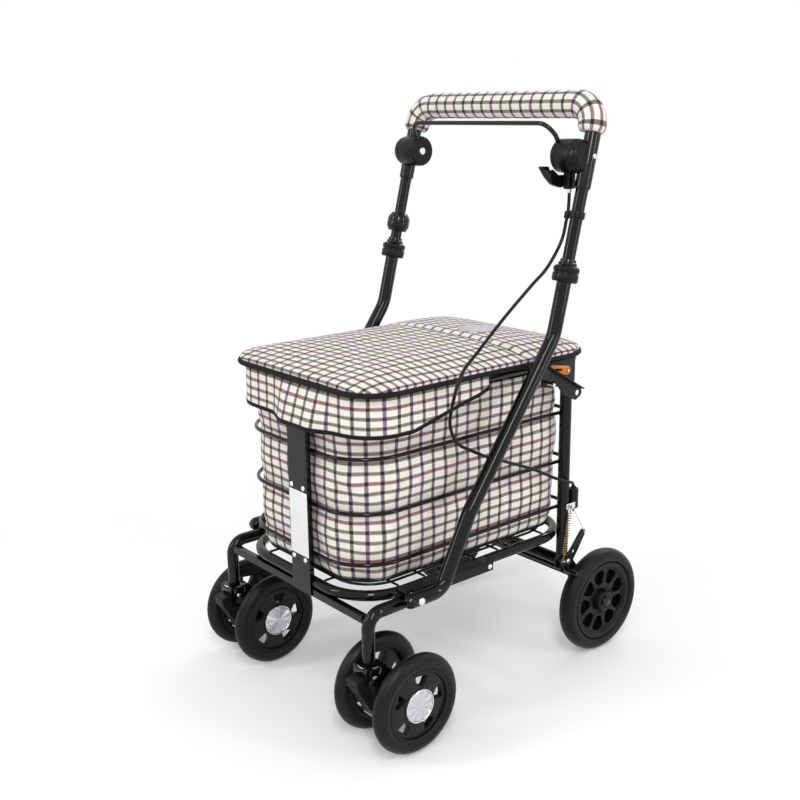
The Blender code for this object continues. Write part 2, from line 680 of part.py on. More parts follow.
# Clamp collars and the bushes above them
half = COLLAR_H / 2
collar_profile = [
    (SIDE_TUBE_D / 2 + 0.0004, half),
    (COLLAR_D / 2 - 0.003, half),
    (COLLAR_D / 2, half - 0.003),
    (COLLAR_D / 2, 0.003 - half),
    (COLLAR_D / 2 - 0.0015, -half),
    (SIDE_TUBE_D / 2 + 0.0004, -half),
]
collar = turned("collar", collar_profile, 20, along_handle(0))
pair(collar, "clamp_collar", "black_plastic", tuple(on_handle(0)))
bush_profile = [
    (SIDE_BORE_D / 2 + 0.0001, BUSH_H),
    (BUSH_D / 2 - 0.001, BUSH_H),
    (BUSH_D / 2 - 0.001, BUSH_H * 0.55),
    (BUSH_D / 2 + 0.0012, BUSH_H * 0.40),
    (BUSH_D / 2 + 0.0012, 0),
    (SIDE_BORE_D / 2 + 0.0001, 0),
]
bush = turned("bush", bush_profile, 16, along_handle(half + 2 * GAP))
pair(bush, "tube_bush", "black_plastic", (HANDLE_X, PIVOT_Y, PIVOT_Z))

# Fold levers with their notch over the latch pin and a turned-out top edge
lever_points = [
    (-0.0080, -0.0095),
    (-0.0060, 0.0080),
    (0.0060, 0.0100),
    (0.0870, -0.0380),
    (0.0880, -0.0490),
    (0.0740, -0.0560),
    (0.0500, -0.0440),
    (0.0445, -0.0400),
    (0.0255, -0.0180),
    (0.0210, -0.0180),
    (0.0080, -0.0140),
]
lever_radii = [0.006, 0.005, 0.004, 0.004, 0.006, 0.006, 0.003, 0.002, 0.0015, 0.002, 0.004]
lever_holes = [circle(LEVER_Y, LEVER_Z, 0.003, 12), circle(LEVER_Y + 0.0785, LEVER_Z - 0.0445, 0.0045, 12)]
lever_outline = outline(shifted(lever_points, LEVER_Y, LEVER_Z), lever_radii)
lever = plate("lever", lever_outline, LEVER_IN, LEVER_OUT, lever_holes)
flange_points = [(0.0080, 0.0090), (0.0860, -0.0372), (0.0851, -0.0388), (0.0071, 0.0074)]
flange_points = shifted(flange_points, LEVER_Y, LEVER_Z)
flange = plate("flange", flange_points, LEVER_IN + 0.0005, LEVER_OUT + 0.008)
pair(joined(lever, flange), "fold_lever", "lever_metal", (LEVER_OUT, LEVER_Y, LEVER_Z))

# Orange safety catches
catch_nose = (CATCH_Y - 0.031, CATCH_Z + 0.0055)
catch_outline = link_outline(catch_nose, (CATCH_Y, CATCH_Z), 0.0072, 0.0072)
slot_ends = (CATCH_Y - 0.026, CATCH_Z + 0.0046), (CATCH_Y - 0.013, CATCH_Z + 0.0023)
slot_outline = link_outline(*slot_ends, 0.0018, 0.0018, 4)
catch_holes = [circle(CATCH_Y, CATCH_Z, 0.0024, 12), slot_outline]
catch = plate("catch", catch_outline, CATCH_IN, CATCH_OUT, catch_holes)
pair(catch, "safety_catch", "orange_plastic", ((CATCH_IN + CATCH_OUT) / 2, CATCH_Y, CATCH_Z))

# Handle loop, grip pad and the collars on the loop
def loop_path(low, x=HANDLE_X):
    ends = [on_handle(low, -x), on_handle(LOOP_TOP, -x), on_handle(LOOP_TOP, x), on_handle(low, x)]
    return rounded(ends, [0, HANDLE_CORNER_R, HANDLE_CORNER_R, 0], step=20)


handle_pivot = tuple(on_handle(0, 0))
handle_loop = tube("handle_loop", loop_path(-LOOP_BOTTOM), LOOP_TUBE_D)
finished(handle_loop, "frame_paint", handle_pivot)
pad = tube("grip_pad", loop_path(PAD_END, HANDLE_X - PAD_INSET), PAD_D, sides=12)
pad = cut(pad, tube("bore", loop_path(PAD_END - 0.01), SLEEVE_BORE_D))
finished(pad, "check_cloth", handle_pivot)

stop_profile = [
    (0.0104, 0.0155),
    (0.0140, 0.0155),
    (0.0185, 0.0080),
    (0.0195, 0.0025),
    (0.0185, 0.0012),
    (0.0195, -0.0005),
    (0.0190, -0.0080),
    (0.0150, -0.0155),
    (0.0104, -0.0155),
]
stop_collar = turned("stop_collar", stop_profile, 16, along_handle(0.049, -HANDLE_X))
finished(stop_collar, "black_plastic", handle_pivot)

clip_at = on_handle(0.0871)
clip_low = on_handle(0.0821)
clip_high = on_handle(0.0921)
cable_clip = rod("cable_clip", clip_low, clip_high, 0.0235, 16)
eye_at = Vector((HANDLE_X - 0.0145, clip_at.y - 0.005, clip_at.z))
half_up = (clip_high - clip_low) / 2
eye = rod("eye", eye_at - half_up, eye_at + half_up, 0.0095, 10)
tube_bore = rod("bore", clip_low - half_up, clip_high + half_up, SLEEVE_BORE_D, 16)
eye_bore = rod("bore", eye_at - 2 * half_up, eye_at + 2 * half_up, CABLE_D + 0.0012, 10)
cable_clip = cut(joined(cable_clip, eye), tube_bore, eye_bore)
finished(cable_clip, "black_plastic", handle_pivot)

# Hubs: a drum, the sleeve round the tube, and the stud that carries the bail
hub_profile = [
    (0.0, HUB_OUT),
    (HUB_R - 0.006, HUB_OUT),
    (HUB_R - 0.002, HUB_OUT - 0.004),
    (HUB_R, HUB_OUT - 0.012),
    (HUB_R, HUB_IN),
    (0.0, HUB_IN),
]


def hub(name):
    body = turned(name, hub_profile, 20, facing_x(0, HUB_Y, HUB_Z))
    sleeve = rod("sleeve", on_handle(SOCKET_LOW), on_handle(PAD_END - GAP), SOCKET_D, 16)
    stud = rod("stud", (HUB_IN + 0.001, HUB_Y, HUB_Z), (BAIL_IN - 0.0006, HUB_Y, HUB_Z), 0.008, 10)
    head = rod("head", (BAIL_IN - GAP, HUB_Y, HUB_Z), (BAIL_IN - 0.0024, HUB_Y, HUB_Z), 0.012, 12, 0.009)
    screw_y = on_handle((HUB_Z - CLAMP_Z) / math.cos(HANDLE_LEAN)).y
    outer = HANDLE_X + SOCKET_D / 2
    screw = rod("screw", (outer - 0.001, screw_y, HUB_Z), (outer + 0.0012, screw_y, HUB_Z), 0.007, 8)
    return joined(body, sleeve, stud, head, screw)


def hub_bore():
    return rod("bore", on_handle(SOCKET_LOW - 0.01), on_handle(PAD_END + 0.01), SLEEVE_BORE_D, 16)


hub_right = mirrored(hub("hub"), "hub_right_solid")
bpy.data.objects.remove(bpy.data.objects["hub"], do_unlink=True)
right_bore = mirrored(hub_bore(), "right_bore")
bpy.data.objects.remove(bpy.data.objects["bore"], do_unlink=True)
hub_right.name = "hub_right"
finished(cut(hub_right, right_bore), "black_plastic", handle_pivot)

hub_left = hub("hub_left")
housing_low = (HUB_IN + 0.0072, HUB_Y - 0.0105, HUB_Z - 0.0475)
housing_high = (HUB_IN + 0.0186, HUB_Y + 0.0055, HUB_Z - 0.014)
housing = block("housing", housing_low, housing_high)
park_ends = (PARK_OUT + 0.0013, PARK_Y, PARK_Z), (PARK_IN - 0.0013, PARK_Y, PARK_Z)
head_ends = (PARK_IN - 0.0005, PARK_Y, PARK_Z), (PARK_IN - 0.0023, PARK_Y, PARK_Z)
park_pin = rod("pin", *park_ends, 0.004, 8)
park_head = rod("head", *head_ends, 0.008, 8)
ferrule_ends = [(FERRULE_X, FERRULE_Y, FERRULE_Z + up) for up in (0.002, -0.006)]
ferrule = rod("ferrule", *ferrule_ends, 0.0078, 10)
socket_ends = [(FERRULE_X, FERRULE_Y, FERRULE_Z + up) for up in (-0.002, -0.02)]
socket = rod("socket", *socket_ends, CABLE_D + 0.0008, 10)
hub_left = joined(hub_left, housing, park_pin, park_head, ferrule)
finished(cut(hub_left, hub_bore(), socket), "black_plastic", handle_pivot)

# Brake bail
bail_corners = [
    (BAIL_IN + 0.0041, HUB_Y - 0.005, HUB_Z + 0.012),
    (BAIL_IN + 0.0033, HUB_Y - 0.0145, HUB_Z + 0.030),
    (BAIL_IN - 0.0075, HUB_Y - 0.026, HUB_Z + 0.047),
]
bail_path = [Vector(corner) for corner in bail_corners]
bail_path += [Vector((-x, y, z)) for x, y, z in reversed(bail_corners)]
bail_path = rounded(bail_path, [0, 0.018, 0.022, 0.022, 0.018, 0], step=18)
bail = tube("brake_bail", bail_path, BAIL_D, sides=8)
discs = []
for side in (-1, 1):
    low, high = sorted((side * BAIL_IN, side * BAIL_OUT))
    ring_outline = circle(HUB_Y, HUB_Z, BAIL_R, 24)
    discs.append(plate("disc", ring_outline, low, high, [circle(HUB_Y, HUB_Z, 0.0045, 12)]))
bail_pivot = (0, HUB_Y, HUB_Z)
finished(joined(bail, *discs), "black_plastic", bail_pivot)

# Parking lever: a crescent that the thumb presses down
park_points = [
    (-0.0530, 0.0210),
    (-0.0360, 0.0205),
    (-0.0330, 0.0135),
    (-0.0255, 0.0155),
    (-0.0140, 0.0070),
    (0.0, 0.0070),
    (0.0070, 0.0),
    (0.0050, -0.0075),
    (-0.0090, -0.0120),
    (-0.0260, -0.0070),
    (-0.0390, 0.0040),
]
park_radii = [0.0015, 0.002, 0.002, 0.003, 0.006, 0.003, 0.004, 0.004, 0.012, 0.014, 0.014]
park_hole = circle(PARK_Y, PARK_Z, 0.0024, 12)
park_outline = outline(shifted(park_points, PARK_Y, PARK_Z), park_radii)
park = plate("parking_lever", park_outline, PARK_IN, PARK_OUT, [park_hole])
finished(park, "black_plastic", ((PARK_IN + PARK_OUT) / 2, PARK_Y, PARK_Z))

# Brake shoe bar, its arms and the spring's lug
shoe_reach = REAR_X + 0.011
shoe = rod("brake_bar", (-shoe_reach, SHOE_Y, SHOE_Z), (shoe_reach, SHOE_Y, SHOE_Z), SHOE_D, 12)
link = link_outline((SHOE_Y, SHOE_Z), (BRAKE_Y, BRAKE_Z), 0.0062, 0.0055)
lug = plate("lug", link_outline((SHOE_Y, SHOE_Z), SPRING_LOW, 0.0038, 0.0035), TAB_IN, TAB_OUT)
lug_pin = rod("pin", (TAB_IN + 0.001, *SPRING_LOW), (SPRING_X + 0.0042, *SPRING_LOW), 0.0028, 8)
shoe = joined(shoe, plate("link", link, -ARM_OUT, -ARM_IN), lug, lug_pin)
shoe_hole_ends = (-ARM_OUT - 0.01, BRAKE_Y, BRAKE_Z), (-ARM_IN + 0.01, BRAKE_Y, BRAKE_Z)
shoe = cut(shoe, rod("hole", *shoe_hole_ends, 0.0058, 12))
brake_pivot = (0, BRAKE_Y, BRAKE_Z)
finished(shoe, "frame_paint", brake_pivot)
arm_points = [
    (ARM_TOP[0] - 0.0060, ARM_TOP[1] + 0.0075),
    (ARM_TOP[0] + 0.0065, ARM_TOP[1] + 0.0035),
    (ARM_MID[0] + 0.0085, ARM_MID[1] - 0.0030),
    (BRAKE_Y + 0.0080, BRAKE_Z - 0.0060),
    (SHOE_Y + 0.0040, SHOE_Z - 0.0085),
    (SHOE_Y - 0.0080, SHOE_Z - 0.0040),
    (SHOE_Y - 0.0060, SHOE_Z + 0.0070),
    (ARM_MID[0] - 0.0080, ARM_MID[1] + 0.0050),
]
arm_radii = [0.005, 0.005, 0.010, 0.006, 0.006, 0.006, 0.006, 0.010]
arm_holes = [
    circle(*ARM_TOP, 0.0024, 10),
    circle(*ARM_MID, 0.003, 10),
    circle(BRAKE_Y, BRAKE_Z, 0.0029, 12),
    circle(SHOE_Y, SHOE_Z, SHOE_D / 2 + 0.0005, 12),
]
arm = plate("brake_arm", outline(arm_points, arm_radii), ARM_IN, ARM_OUT, arm_holes)
finished(arm, "frame_paint", brake_pivot)

# Inner wire from the adjuster to the arm, with the nipple in the arm's hole
wire_x = ARM_OUT + 0.0014
wire_path = [(stop_x + 0.0001, 0.1672, 0.258), (stop_x + 0.0003, 0.1705, 0.2485), (wire_x, *ARM_TOP)]
wire = tube("brake_wire", wire_path, WIRE_D, sides=6)
nipple = rod("nipple", (ARM_IN - 0.0008, *ARM_TOP), (wire_x + 0.0006, *ARM_TOP), 0.0038, 10)
finished(joined(wire, nipple), "bright_metal")

# Brake cable, in its jacket all the way from the left hub to the stop
CABLE_CORNERS = [
    (FERRULE_X, FERRULE_Y, FERRULE_Z - 0.003),
    (FERRULE_X, FERRULE_Y, FERRULE_Z - 0.008),
    tuple(eye_at + half_up * 1.3),
    tuple(eye_at - half_up * 1.3),
]

# The rest of the cable's way, with X counted from the handle tube
CABLE_WAY = [
    (-0.0147, 0.1015, 0.697),
    (-0.0147, 0.0705, 0.6584),
    (-0.0147, 0.0396, 0.6367),
    (-0.0140, -0.0176, 0.5955),
    (-0.0085, -0.0711, 0.5579),
    (-0.0035, -0.1103, 0.529),
    (-0.0035, -0.129, 0.4825),
    (-0.0085, -0.127, 0.457),
    (-0.0135, -0.1094, 0.4276),
    (-0.0175, -0.0801, 0.41),
    (-0.0215, -0.0419, 0.3902),
    (-0.0255, -0.0044, 0.3748),
    (-0.0255, 0.0658, 0.3448),
    (-0.0235, 0.1029, 0.3254),
    (-0.0210, 0.127, 0.314),
    (-0.0220, 0.143, 0.308),
    (-0.0257, 0.1535, 0.304),
    (-0.0284, 0.1582, 0.3003),
    (-0.0289, 0.1602, 0.2953),
]


def smooth_path(points, per_span):
    """A centripetal curve through all the points."""
    points = [Vector(point) for point in points]
    ends = [2 * points[0] - points[1], *points, 2 * points[-1] - points[-2]]
    path = []
    for index in range(1, len(ends) - 2):
        p0, p1, p2, p3 = ends[index - 1 : index + 3]
        t1 = (p1 - p0).length ** 0.5
        t2 = t1 + (p2 - p1).length ** 0.5
        t3 = t2 + (p3 - p2).length ** 0.5
        for count in range(per_span):
            t = t1 + (t2 - t1) * count / per_span
            a1 = p0 * ((t1 - t) / t1) + p1 * (t / t1)
            a2 = p1 * ((t2 - t) / (t2 - t1)) + p2 * ((t - t1) / (t2 - t1))
            a3 = p2 * ((t3 - t) / (t3 - t2)) + p3 * ((t - t2) / (t3 - t2))
            b1 = a1 * ((t2 - t) / t2) + a2 * (t / t2)
            b2 = a2 * ((t3 - t) / (t3 - t1)) + a3 * ((t - t1) / (t3 - t1))
            path.append(b1 * ((t2 - t) / (t2 - t1)) + b2 * ((t - t1) / (t2 - t1)))
    path.append(points[-1])
    return path


CABLE_CORNERS += [(HANDLE_X + x, y, z) for x, y, z in CABLE_WAY]
cable_path = smooth_path(CABLE_CORNERS, 2)
print("cable length", round(sum((b - a).length for a, b in zip(cable_path, cable_path[1:])), 4))
finished(tube("brake_cable", cable_path, CABLE_D, sides=6), "cable_jacket", sharp=65)

# Return spring: a close helix with a loop at each end
top = Vector((SPRING_X, *SPRING_TOP))
low = Vector((SPRING_X, *SPRING_LOW))
axis = (top - low).normalized()
side = Vector((1, 0, 0))
front = axis.cross(side)
coil_low = low + axis * 0.0105
coil_high = top - axis * 0.0105
spring_path = []
per_curl = 8


def loop_points(centre, start_dir, turn_dir, radius, count, sweep):
    points = []
    for step in range(count + 1):
        angle = sweep * step / count
        points.append(centre + (start_dir * math.cos(angle) + turn_dir * math.sin(angle)) * radius)
    return points


spring_path += reversed(loop_points(low, axis, front, SPRING_LOOP_R, 8, math.radians(300)))
spring_path.append(low + axis * 0.0062)
for step in range(SPRING_CURLS * per_curl + 1):
    angle = 2 * math.pi * step / per_curl
    share = step / (SPRING_CURLS * per_curl)
    around = (side * math.sin(angle) + front * math.cos(angle)) * SPRING_R
    spring_path.append(coil_low.lerp(coil_high, share) + around)
spring_path.append(top - axis * 0.0062)
spring_path += loop_points(top, -axis, front, SPRING_LOOP_R, 8, math.radians(300))
least = min(
    (a - b).length
    for index, a in enumerate(spring_path)
    for b in spring_path[index + 4 :]
)
print("spring self-gap in mm", round((least - SPRING_WIRE_D) * 1000, 2))
finished(tube("brake_spring", spring_path, SPRING_WIRE_D, sides=6), "spring_brass", sharp=65)

# Rear wheels: a tyre on a rim with nine pockets
TYRE_STEPS = 28
half = REAR_W / 2
tyre_profile = [
    (REAR_RIM_R + GAP, half - 0.005),
    (REAR_RIM_R + 0.008, half),
    (REAR_R - 0.0055, half - 0.003),
    (REAR_R - 0.0012, half - 0.0085),
    (REAR_R, 0.0),
    (REAR_R - 0.0012, 0.0085 - half),
    (REAR_R - 0.0055, 0.003 - half),
    (REAR_RIM_R + 0.008, -half),
    (REAR_RIM_R + GAP, 0.005 - half),
]
rear_place = facing_x(REAR_X, REAR_Y, REAR_R)
rear_pivot = (REAR_X, REAR_Y, REAR_R)
pair(turned("tyre", tyre_profile, TYRE_STEPS, rear_place), "rear_tyre", "tyre_rubber", rear_pivot)
RIM_EDGE_R = REAR_RIM_R * math.cos(math.pi / TYRE_STEPS)
rim_profile = [
    (AXLE_D / 2 + 0.0004, 0.0172),
    (0.0165, 0.0172),
    (0.0200, 0.0085),
    (REAR_RIM_R - 0.012, 0.0085),
    (REAR_RIM_R - 0.009, 0.0125),
    (RIM_EDGE_R, 0.0125),
    (RIM_EDGE_R, -0.0125),
    (REAR_RIM_R - 0.010, -0.0125),
    (REAR_RIM_R - 0.012, -0.0020),
    (0.0190, -0.0020),
    (0.0170, -0.0145),
    (AXLE_D / 2 + 0.0004, -0.0145),
]
rim = turned("rim", rim_profile, 18, rear_place)
rear_centre = Vector((REAR_Y, REAR_R))
pocket_in, pocket_out = 0.029, REAR_RIM_R - 0.018
pocket_corners = ((pocket_in, -0.0052), (pocket_out, -0.0100), (pocket_out, 0.0100), (pocket_in, 0.0052))
pockets = []
for count in range(9):
    angle = 2 * math.pi * (count + 0.5) / 9
    outward = Vector((math.cos(angle), math.sin(angle)))
    across = Vector((-outward.y, outward.x))
    corners = [tuple(rear_centre + outward * out + across * aside) for out, aside in pocket_corners]
    shape = outline(corners, 0.004, 90)
    pockets.append(plate("pocket", shape, REAR_X - 0.02, REAR_X + 0.02))
rim = cut(rim, *pockets)
pair(rim, "rear_rim", "wheel_plastic", rear_pivot)

# Caster forks
axle_y = LEG_Y + CASTER_TRAIL
fork_points = [
    (LEG_Y - 0.0165, FORK_TOP),
    (LEG_Y + 0.0165, FORK_TOP),
    (LEG_Y + 0.0300, 0.1230),
    (axle_y + 0.0160, CASTER_R + 0.0060),
    (axle_y + 0.0120, CASTER_R - 0.0140),
    (axle_y - 0.0120, CASTER_R - 0.0150),
    (LEG_Y + 0.0160, 0.0800),
    (LEG_Y + 0.0000, 0.1060),
    (LEG_Y - 0.0165, 0.1100),
]
fork_radii = [0.003, 0.004, 0.010, 0.012, 0.012, 0.010, 0.006, 0.008, 0.004]
fork = plate("fork", outline(fork_points, fork_radii), LEG_X - 0.0155, LEG_X + 0.0155)
stem = rod("stem", (LEG_X, LEG_Y, FORK_TOP - 0.01), (LEG_X, LEG_Y, LEG_BOTTOM + 0.034), STEM_D, 12)
shoulder = rod("shoulder", (LEG_X, LEG_Y, FORK_TOP - 0.012), (LEG_X, LEG_Y, FORK_TOP - 0.003), 0.038, 12)
hang_y = PEDAL_Y - 0.020
hang_z = 0.1165


def caster_rod(name, low, high, y, z, diameter, sides):
    """A rod along X, between two distances from the caster's middle plane."""
    return rod(name, (LEG_X + low, y, z), (LEG_X + high, y, z), diameter, sides)


boss = caster_rod("boss", -0.029, 0.029, axle_y, CASTER_R, 0.020, 10)
fork_bore = caster_rod("bore", -0.04, 0.04, axle_y, CASTER_R, AXLE_D + 0.001, 12)
screw = caster_rod("screw", 0.0150, 0.0175, LEG_Y - 0.002, 0.1215, 0.007, 8)
pedal_pin = caster_rod("pin", -0.0135, 0.0135, hang_y, hang_z, 0.004, 8)
recess = block("recess", (LEG_X - 0.0125, LEG_Y - 0.03, 0.09), (LEG_X + 0.0125, LEG_Y - 0.0045, 0.124))
fork = joined(fork, stem, shoulder, boss, screw)
fork = joined(cut(fork, fork_bore, recess), pedal_pin)
pair(fork, "caster_fork", "black_plastic", (LEG_X, LEG_Y, FORK_TOP))

# Caster axles
reach = CASTER_TRACK + CASTER_W / 2 - 0.0045
axle = caster_rod("axle", -reach, reach, axle_y, CASTER_R, AXLE_D, 12)
pair(axle, "caster_axle", "bright_metal", (LEG_X, axle_y, CASTER_R))

# Caster pedals: a ribbed tongue with a pale foot plate, hung from the fork's pin
pedal_points = [
    (hang_y + 0.0045, hang_z + 0.0045),
    (hang_y - 0.0050, hang_z + 0.0062),
    (-0.3020, 0.1200),
    (-0.3005, 0.1090),
    (-0.2850, 0.0830),
    (-0.2700, 0.0560),
    (-0.2590, 0.0490),
    (-0.2590, 0.0580),
    (-0.2720, 0.0790),
    (hang_y + 0.0050, hang_z - 0.0060),
]
pedal_radii = [0.003, 0.004, 0.004, 0.006, 0.012, 0.004, 0.0015, 0.003, 0.010, 0.003]
pedal = plate("pedal", outline(pedal_points, pedal_radii), LEG_X - 0.0118, LEG_X + 0.0118)
grooves = []
for step in range(5):
    share = step / 4
    y = -0.3012 + 0.0240 * share
    z = 0.1120 - 0.0400 * share
    start = Vector((LEG_X - 0.02, y, z))
    grooves.append(rod("groove", start, start + Vector((0.04, 0, 0)), 0.0042, 6))
pedal_hole = caster_rod("hole", -0.02, 0.02, hang_y, hang_z, 0.0048, 12)
pedal = cut(pedal, *grooves, pedal_hole)
pair(pedal, "caster_pedal", "pedal_plastic", (LEG_X, hang_y, hang_z))

# Caster wheels with five cut-outs and a round cap on the outer side
half = CASTER_W / 2
wheel_profile = [
    (0.0, half - 0.0005),
    (0.0160, half - 0.0005),
    (0.0180, half - 0.0050),
    (0.0465, half - 0.0050),
    (0.0490, half - 0.0015),
    (0.0640, half),
    (CASTER_R - 0.0030, half - 0.0045),
    (CASTER_R, 0.0),
    (CASTER_R - 0.0030, 0.0045 - half),
    (0.0640, -half),
    (0.0465, -0.0020),
    (0.0150, -0.0020),
    (0.0150, 0.0010 - half),
    (AXLE_D / 2 + 0.0006, 0.0010 - half),
    (AXLE_D / 2 + 0.0006, half - 0.0040),
    (0.0, half - 0.0040),
]


def caster_wheel(name, offset, outward):
    x = LEG_X + offset
    place = facing_x(x, axle_y, CASTER_R)
    if outward < 0:
        place = place @ Matrix.Rotation(math.pi, 4, "X")
    wheel = turned(name, wheel_profile, 20, place)
    cutters = []
    for count in range(5):
        angle = 2 * math.pi * (count + 0.15) / 5
        corners = []
        for radius, turn in ((0.0245, -0.20), (0.0415, -0.30), (0.0415, 0.32), (0.0330, 0.20)):
            a = angle + turn
            corners.append((axle_y + radius * math.cos(a), CASTER_R + radius * math.sin(a)))
        cutters.append(plate("cut", outline(corners, 0.002, 60), x - 0.02, x + 0.02))
    wheel = cut(wheel, *cutters)
    return wheel


for title, offset in (("outer", CASTER_TRACK), ("inner", -CASTER_TRACK)):
    wheel = caster_wheel("wheel", offset, offset)
    wheel_pivot = (LEG_X + offset, axle_y, CASTER_R)
    wheel.name = "caster_wheel_" + title + "_left"
    twin = mirrored(wheel, "caster_wheel_" + title + "_right")
    finished(twin, "tyre_rubber", (-wheel_pivot[0], wheel_pivot[1], wheel_pivot[2]))
    finished(wheel, "tyre_rubber", wheel_pivot)


# Cloth forms
def outline_half(y):
    """Half the lid's width at this y, inside its rounded corners."""
    for edge, sign in ((LID_FRONT, 1), (LID_REAR, -1)):
        inset = LID_CORNER_R - sign * (y - edge)
        if inset > 0:
            drop = LID_CORNER_R - math.sqrt(max(0, LID_CORNER_R**2 - inset**2))
            return LID_HALF - drop
    return LID_HALF


def lid_height(x, y):
    """The crown of the lid, with a seam across it and a flatter rear strip."""
    edge = 0.5235
    across = max(0, 1 - (abs(x) / outline_half(y)) ** 2.6)
    span = (y - LID_FRONT) / (LID_REAR - LID_FRONT)
    along = max(0, 1 - abs(2 * span - 1) ** 3.2)
    rise = (LID_CROWN - edge) * (across * along) ** 0.55
    if y > SEAM_FRONT_Y:
        rise *= 0.80
    seam = 0.0035 * math.exp(-(((y - SEAM_FRONT_Y) / 0.006) ** 2))
    return edge + max(0, rise - seam * min(1, 3 * across * along))


row_ys = []
for share in (0.0, 0.10, 0.30, 0.62, 1.0):
    row_ys.append(LID_FRONT + LID_CORNER_R * share)
for y in (-0.165, -0.115, -0.060, -0.010, 0.025, 0.038, 0.045, 0.052, 0.065, 0.100):
    row_ys.append(y)
for share in (1.0, 0.62, 0.30, 0.10, 0.0):
    row_ys.append(LID_REAR - LID_CORNER_R * share)
COLUMNS = (-1.0, -0.94, -0.80, -0.60, -0.36, -0.12, 0.12, 0.36, 0.60, 0.80, 0.94, 1.0)
bm = bmesh.new()
top_rows = []
for y in row_ys:
    row = []
    for share in COLUMNS:
        x = share * outline_half(y)
        row.append(bm.verts.new((x, y, lid_height(x, y))))
    top_rows.append(row)
for row, following in zip(top_rows, top_rows[1:]):
    for index in range(len(row) - 1):
        bm.faces.new((row[index], row[index + 1], following[index + 1], following[index]))
border = list(top_rows[0])
border += [row[-1] for row in top_rows[1:]]
border += list(reversed(top_rows[-1][:-1]))
border += [row[0] for row in reversed(top_rows[1:-1])]
ring = border
count = len(border)
for outset, z in ((0.0028, 0.5250), (0.0034, 0.5215), (0.0010, 0.5180), (-0.0010, LID_LOW)):
    lower = []
    for index, corner in enumerate(border):
        before = border[index - 1].co
        after = border[(index + 1) % count].co
        flow = after - before
        normal = Vector((flow.y, -flow.x, 0)).normalized()
        lower.append(bm.verts.new((corner.co.x + normal.x * outset, corner.co.y + normal.y * outset, z)))
    for index in range(count):
        other = (index + 1) % count
        bm.faces.new((ring[index], lower[index], lower[other], ring[other]))
    ring = lower
bm.faces.new(ring)
lid = mesh_object("seat_lid", bm)
hinges = []
hinge_holes = []
knuckle_points = [
    (0.1885, 0.5200),
    (0.1885, 0.5135),
    (LID_HINGE_Y, 0.5092),
    (0.2050, LID_HINGE_Z),
    (0.2035, 0.5195),
]
knuckle = outline(knuckle_points, [0, 0, 0.0030, 0.0035, 0.003])
for x in (-HINGE_X, HINGE_X):
    for low, high in ((x - 0.0090, x - 0.0024), (x + 0.0024, x + 0.0090)):
        hinges.append(plate("knuckle", knuckle, low, high))
    ends = (x - 0.02, LID_HINGE_Y, LID_HINGE_Z), (x + 0.02, LID_HINGE_Y, LID_HINGE_Z)
    hinge_holes.append(rod("hole", *ends, 0.0048, 12))
    hinge_holes.append(block("slot", (x - 0.0024, 0.182, 0.505), (x + 0.0024, 0.212, 0.5192)))
lid = cut(joined(lid, *hinges), *hinge_holes)
lid_pivot = (0, LID_HINGE_Y, LID_HINGE_Z)
finished(lid, "check_cloth", lid_pivot)

# Valance: a cloth skirt under the lid's edge, with its lower edge rising along the sides
front_y = SEAT_FRONT - SEAT_D / 2 - 0.0026
valance_corners = [(VALANCE_HALF, -0.030, 0), (VALANCE_HALF, front_y, 0)]
valance_corners += [(-x, y, z) for x, y, z in reversed(valance_corners)]
valance_plan = rounded(valance_corners, [0, 0.062, 0.062, 0], step=15)
bulge_low = channel_low - 0.004
bulge_high = channel_high + 0.004
bulge_slope = 0.028
front_xs = (bulge_high + bulge_slope, bulge_high, bulge_low, bulge_low - bulge_slope, -0.070)
stations = []
for start, end in zip(valance_plan, valance_plan[1:]):
    along_front = abs(start.y - end.y) < 1e-6 and start.x - end.x > 0.1
    if along_front:
        stations.append(start)
        stations += [Vector((x, start.y, 0)) for x in front_xs]
        continue
    pieces = max(1, round((end - start).length / 0.034))
    stations += [start.lerp(end, share / pieces) for share in range(pieces)]
stations.append(valance_plan[-1])
HEM = (
    (-0.175, VALANCE_LOW),
    (-0.132, 0.4625),
    (-0.086, 0.4740),
    (-0.050, 0.4820),
    (-0.034, 0.4880),
    (-0.029, 0.4920),
)


def hem_height(y):
    if y <= HEM[0][0]:
        return VALANCE_LOW
    for (y0, z0), (y1, z1) in zip(HEM, HEM[1:]):
        if y <= y1:
            return z0 + (z1 - z0) * (y - y0) / (y1 - y0)
    return HEM[-1][1]


bm = bmesh.new()
LEVELS = (0.0, 0.35, 0.7, 0.92, 1.0)
valance_top = LID_LOW - 2 * GAP
layers = []
for index, place in enumerate(stations):
    before = stations[max(0, index - 1)]
    after = stations[min(len(stations) - 1, index + 1)]
    flow = (after - before).normalized()
    outward = Vector((-flow.y, flow.x, 0))
    if outward.dot(place) < 0:
        outward = -outward
    low_z = hem_height(place.y)
    wave = 0.0010 * (1 + math.sin(index * 1.9)) * 0.5
    in_front = abs(place.y - front_y) < 1e-6
    over_channel = in_front and bulge_low - 1e-6 <= place.x <= bulge_high + 1e-6
    standing = VALANCE_BULGE if over_channel else 0.0
    column = []
    for level in LEVELS:
        z = valance_top + (low_z - valance_top) * level
        hem = 0.0008 if level > 0.9 else 0.0
        bulge = standing * math.sqrt(level)
        outer = place + outward * (VALANCE_WALL / 2 + hem + wave * level + bulge)
        column.append(bm.verts.new((outer.x, outer.y, z)))
    for level in reversed(LEVELS):
        z = valance_top + (low_z - valance_top) * level
        inner = place + outward * (standing * math.sqrt(level) - VALANCE_WALL / 2)
        column.append(bm.verts.new((inner.x, inner.y, z)))
    layers.append(column)
for column, following in zip(layers, layers[1:]):
    for index in range(len(column)):
        other = (index + 1) % len(column)
        bm.faces.new((column[index], column[other], following[other], following[index]))
bm.faces.new(layers[0])
bm.faces.new(list(reversed(layers[-1])))
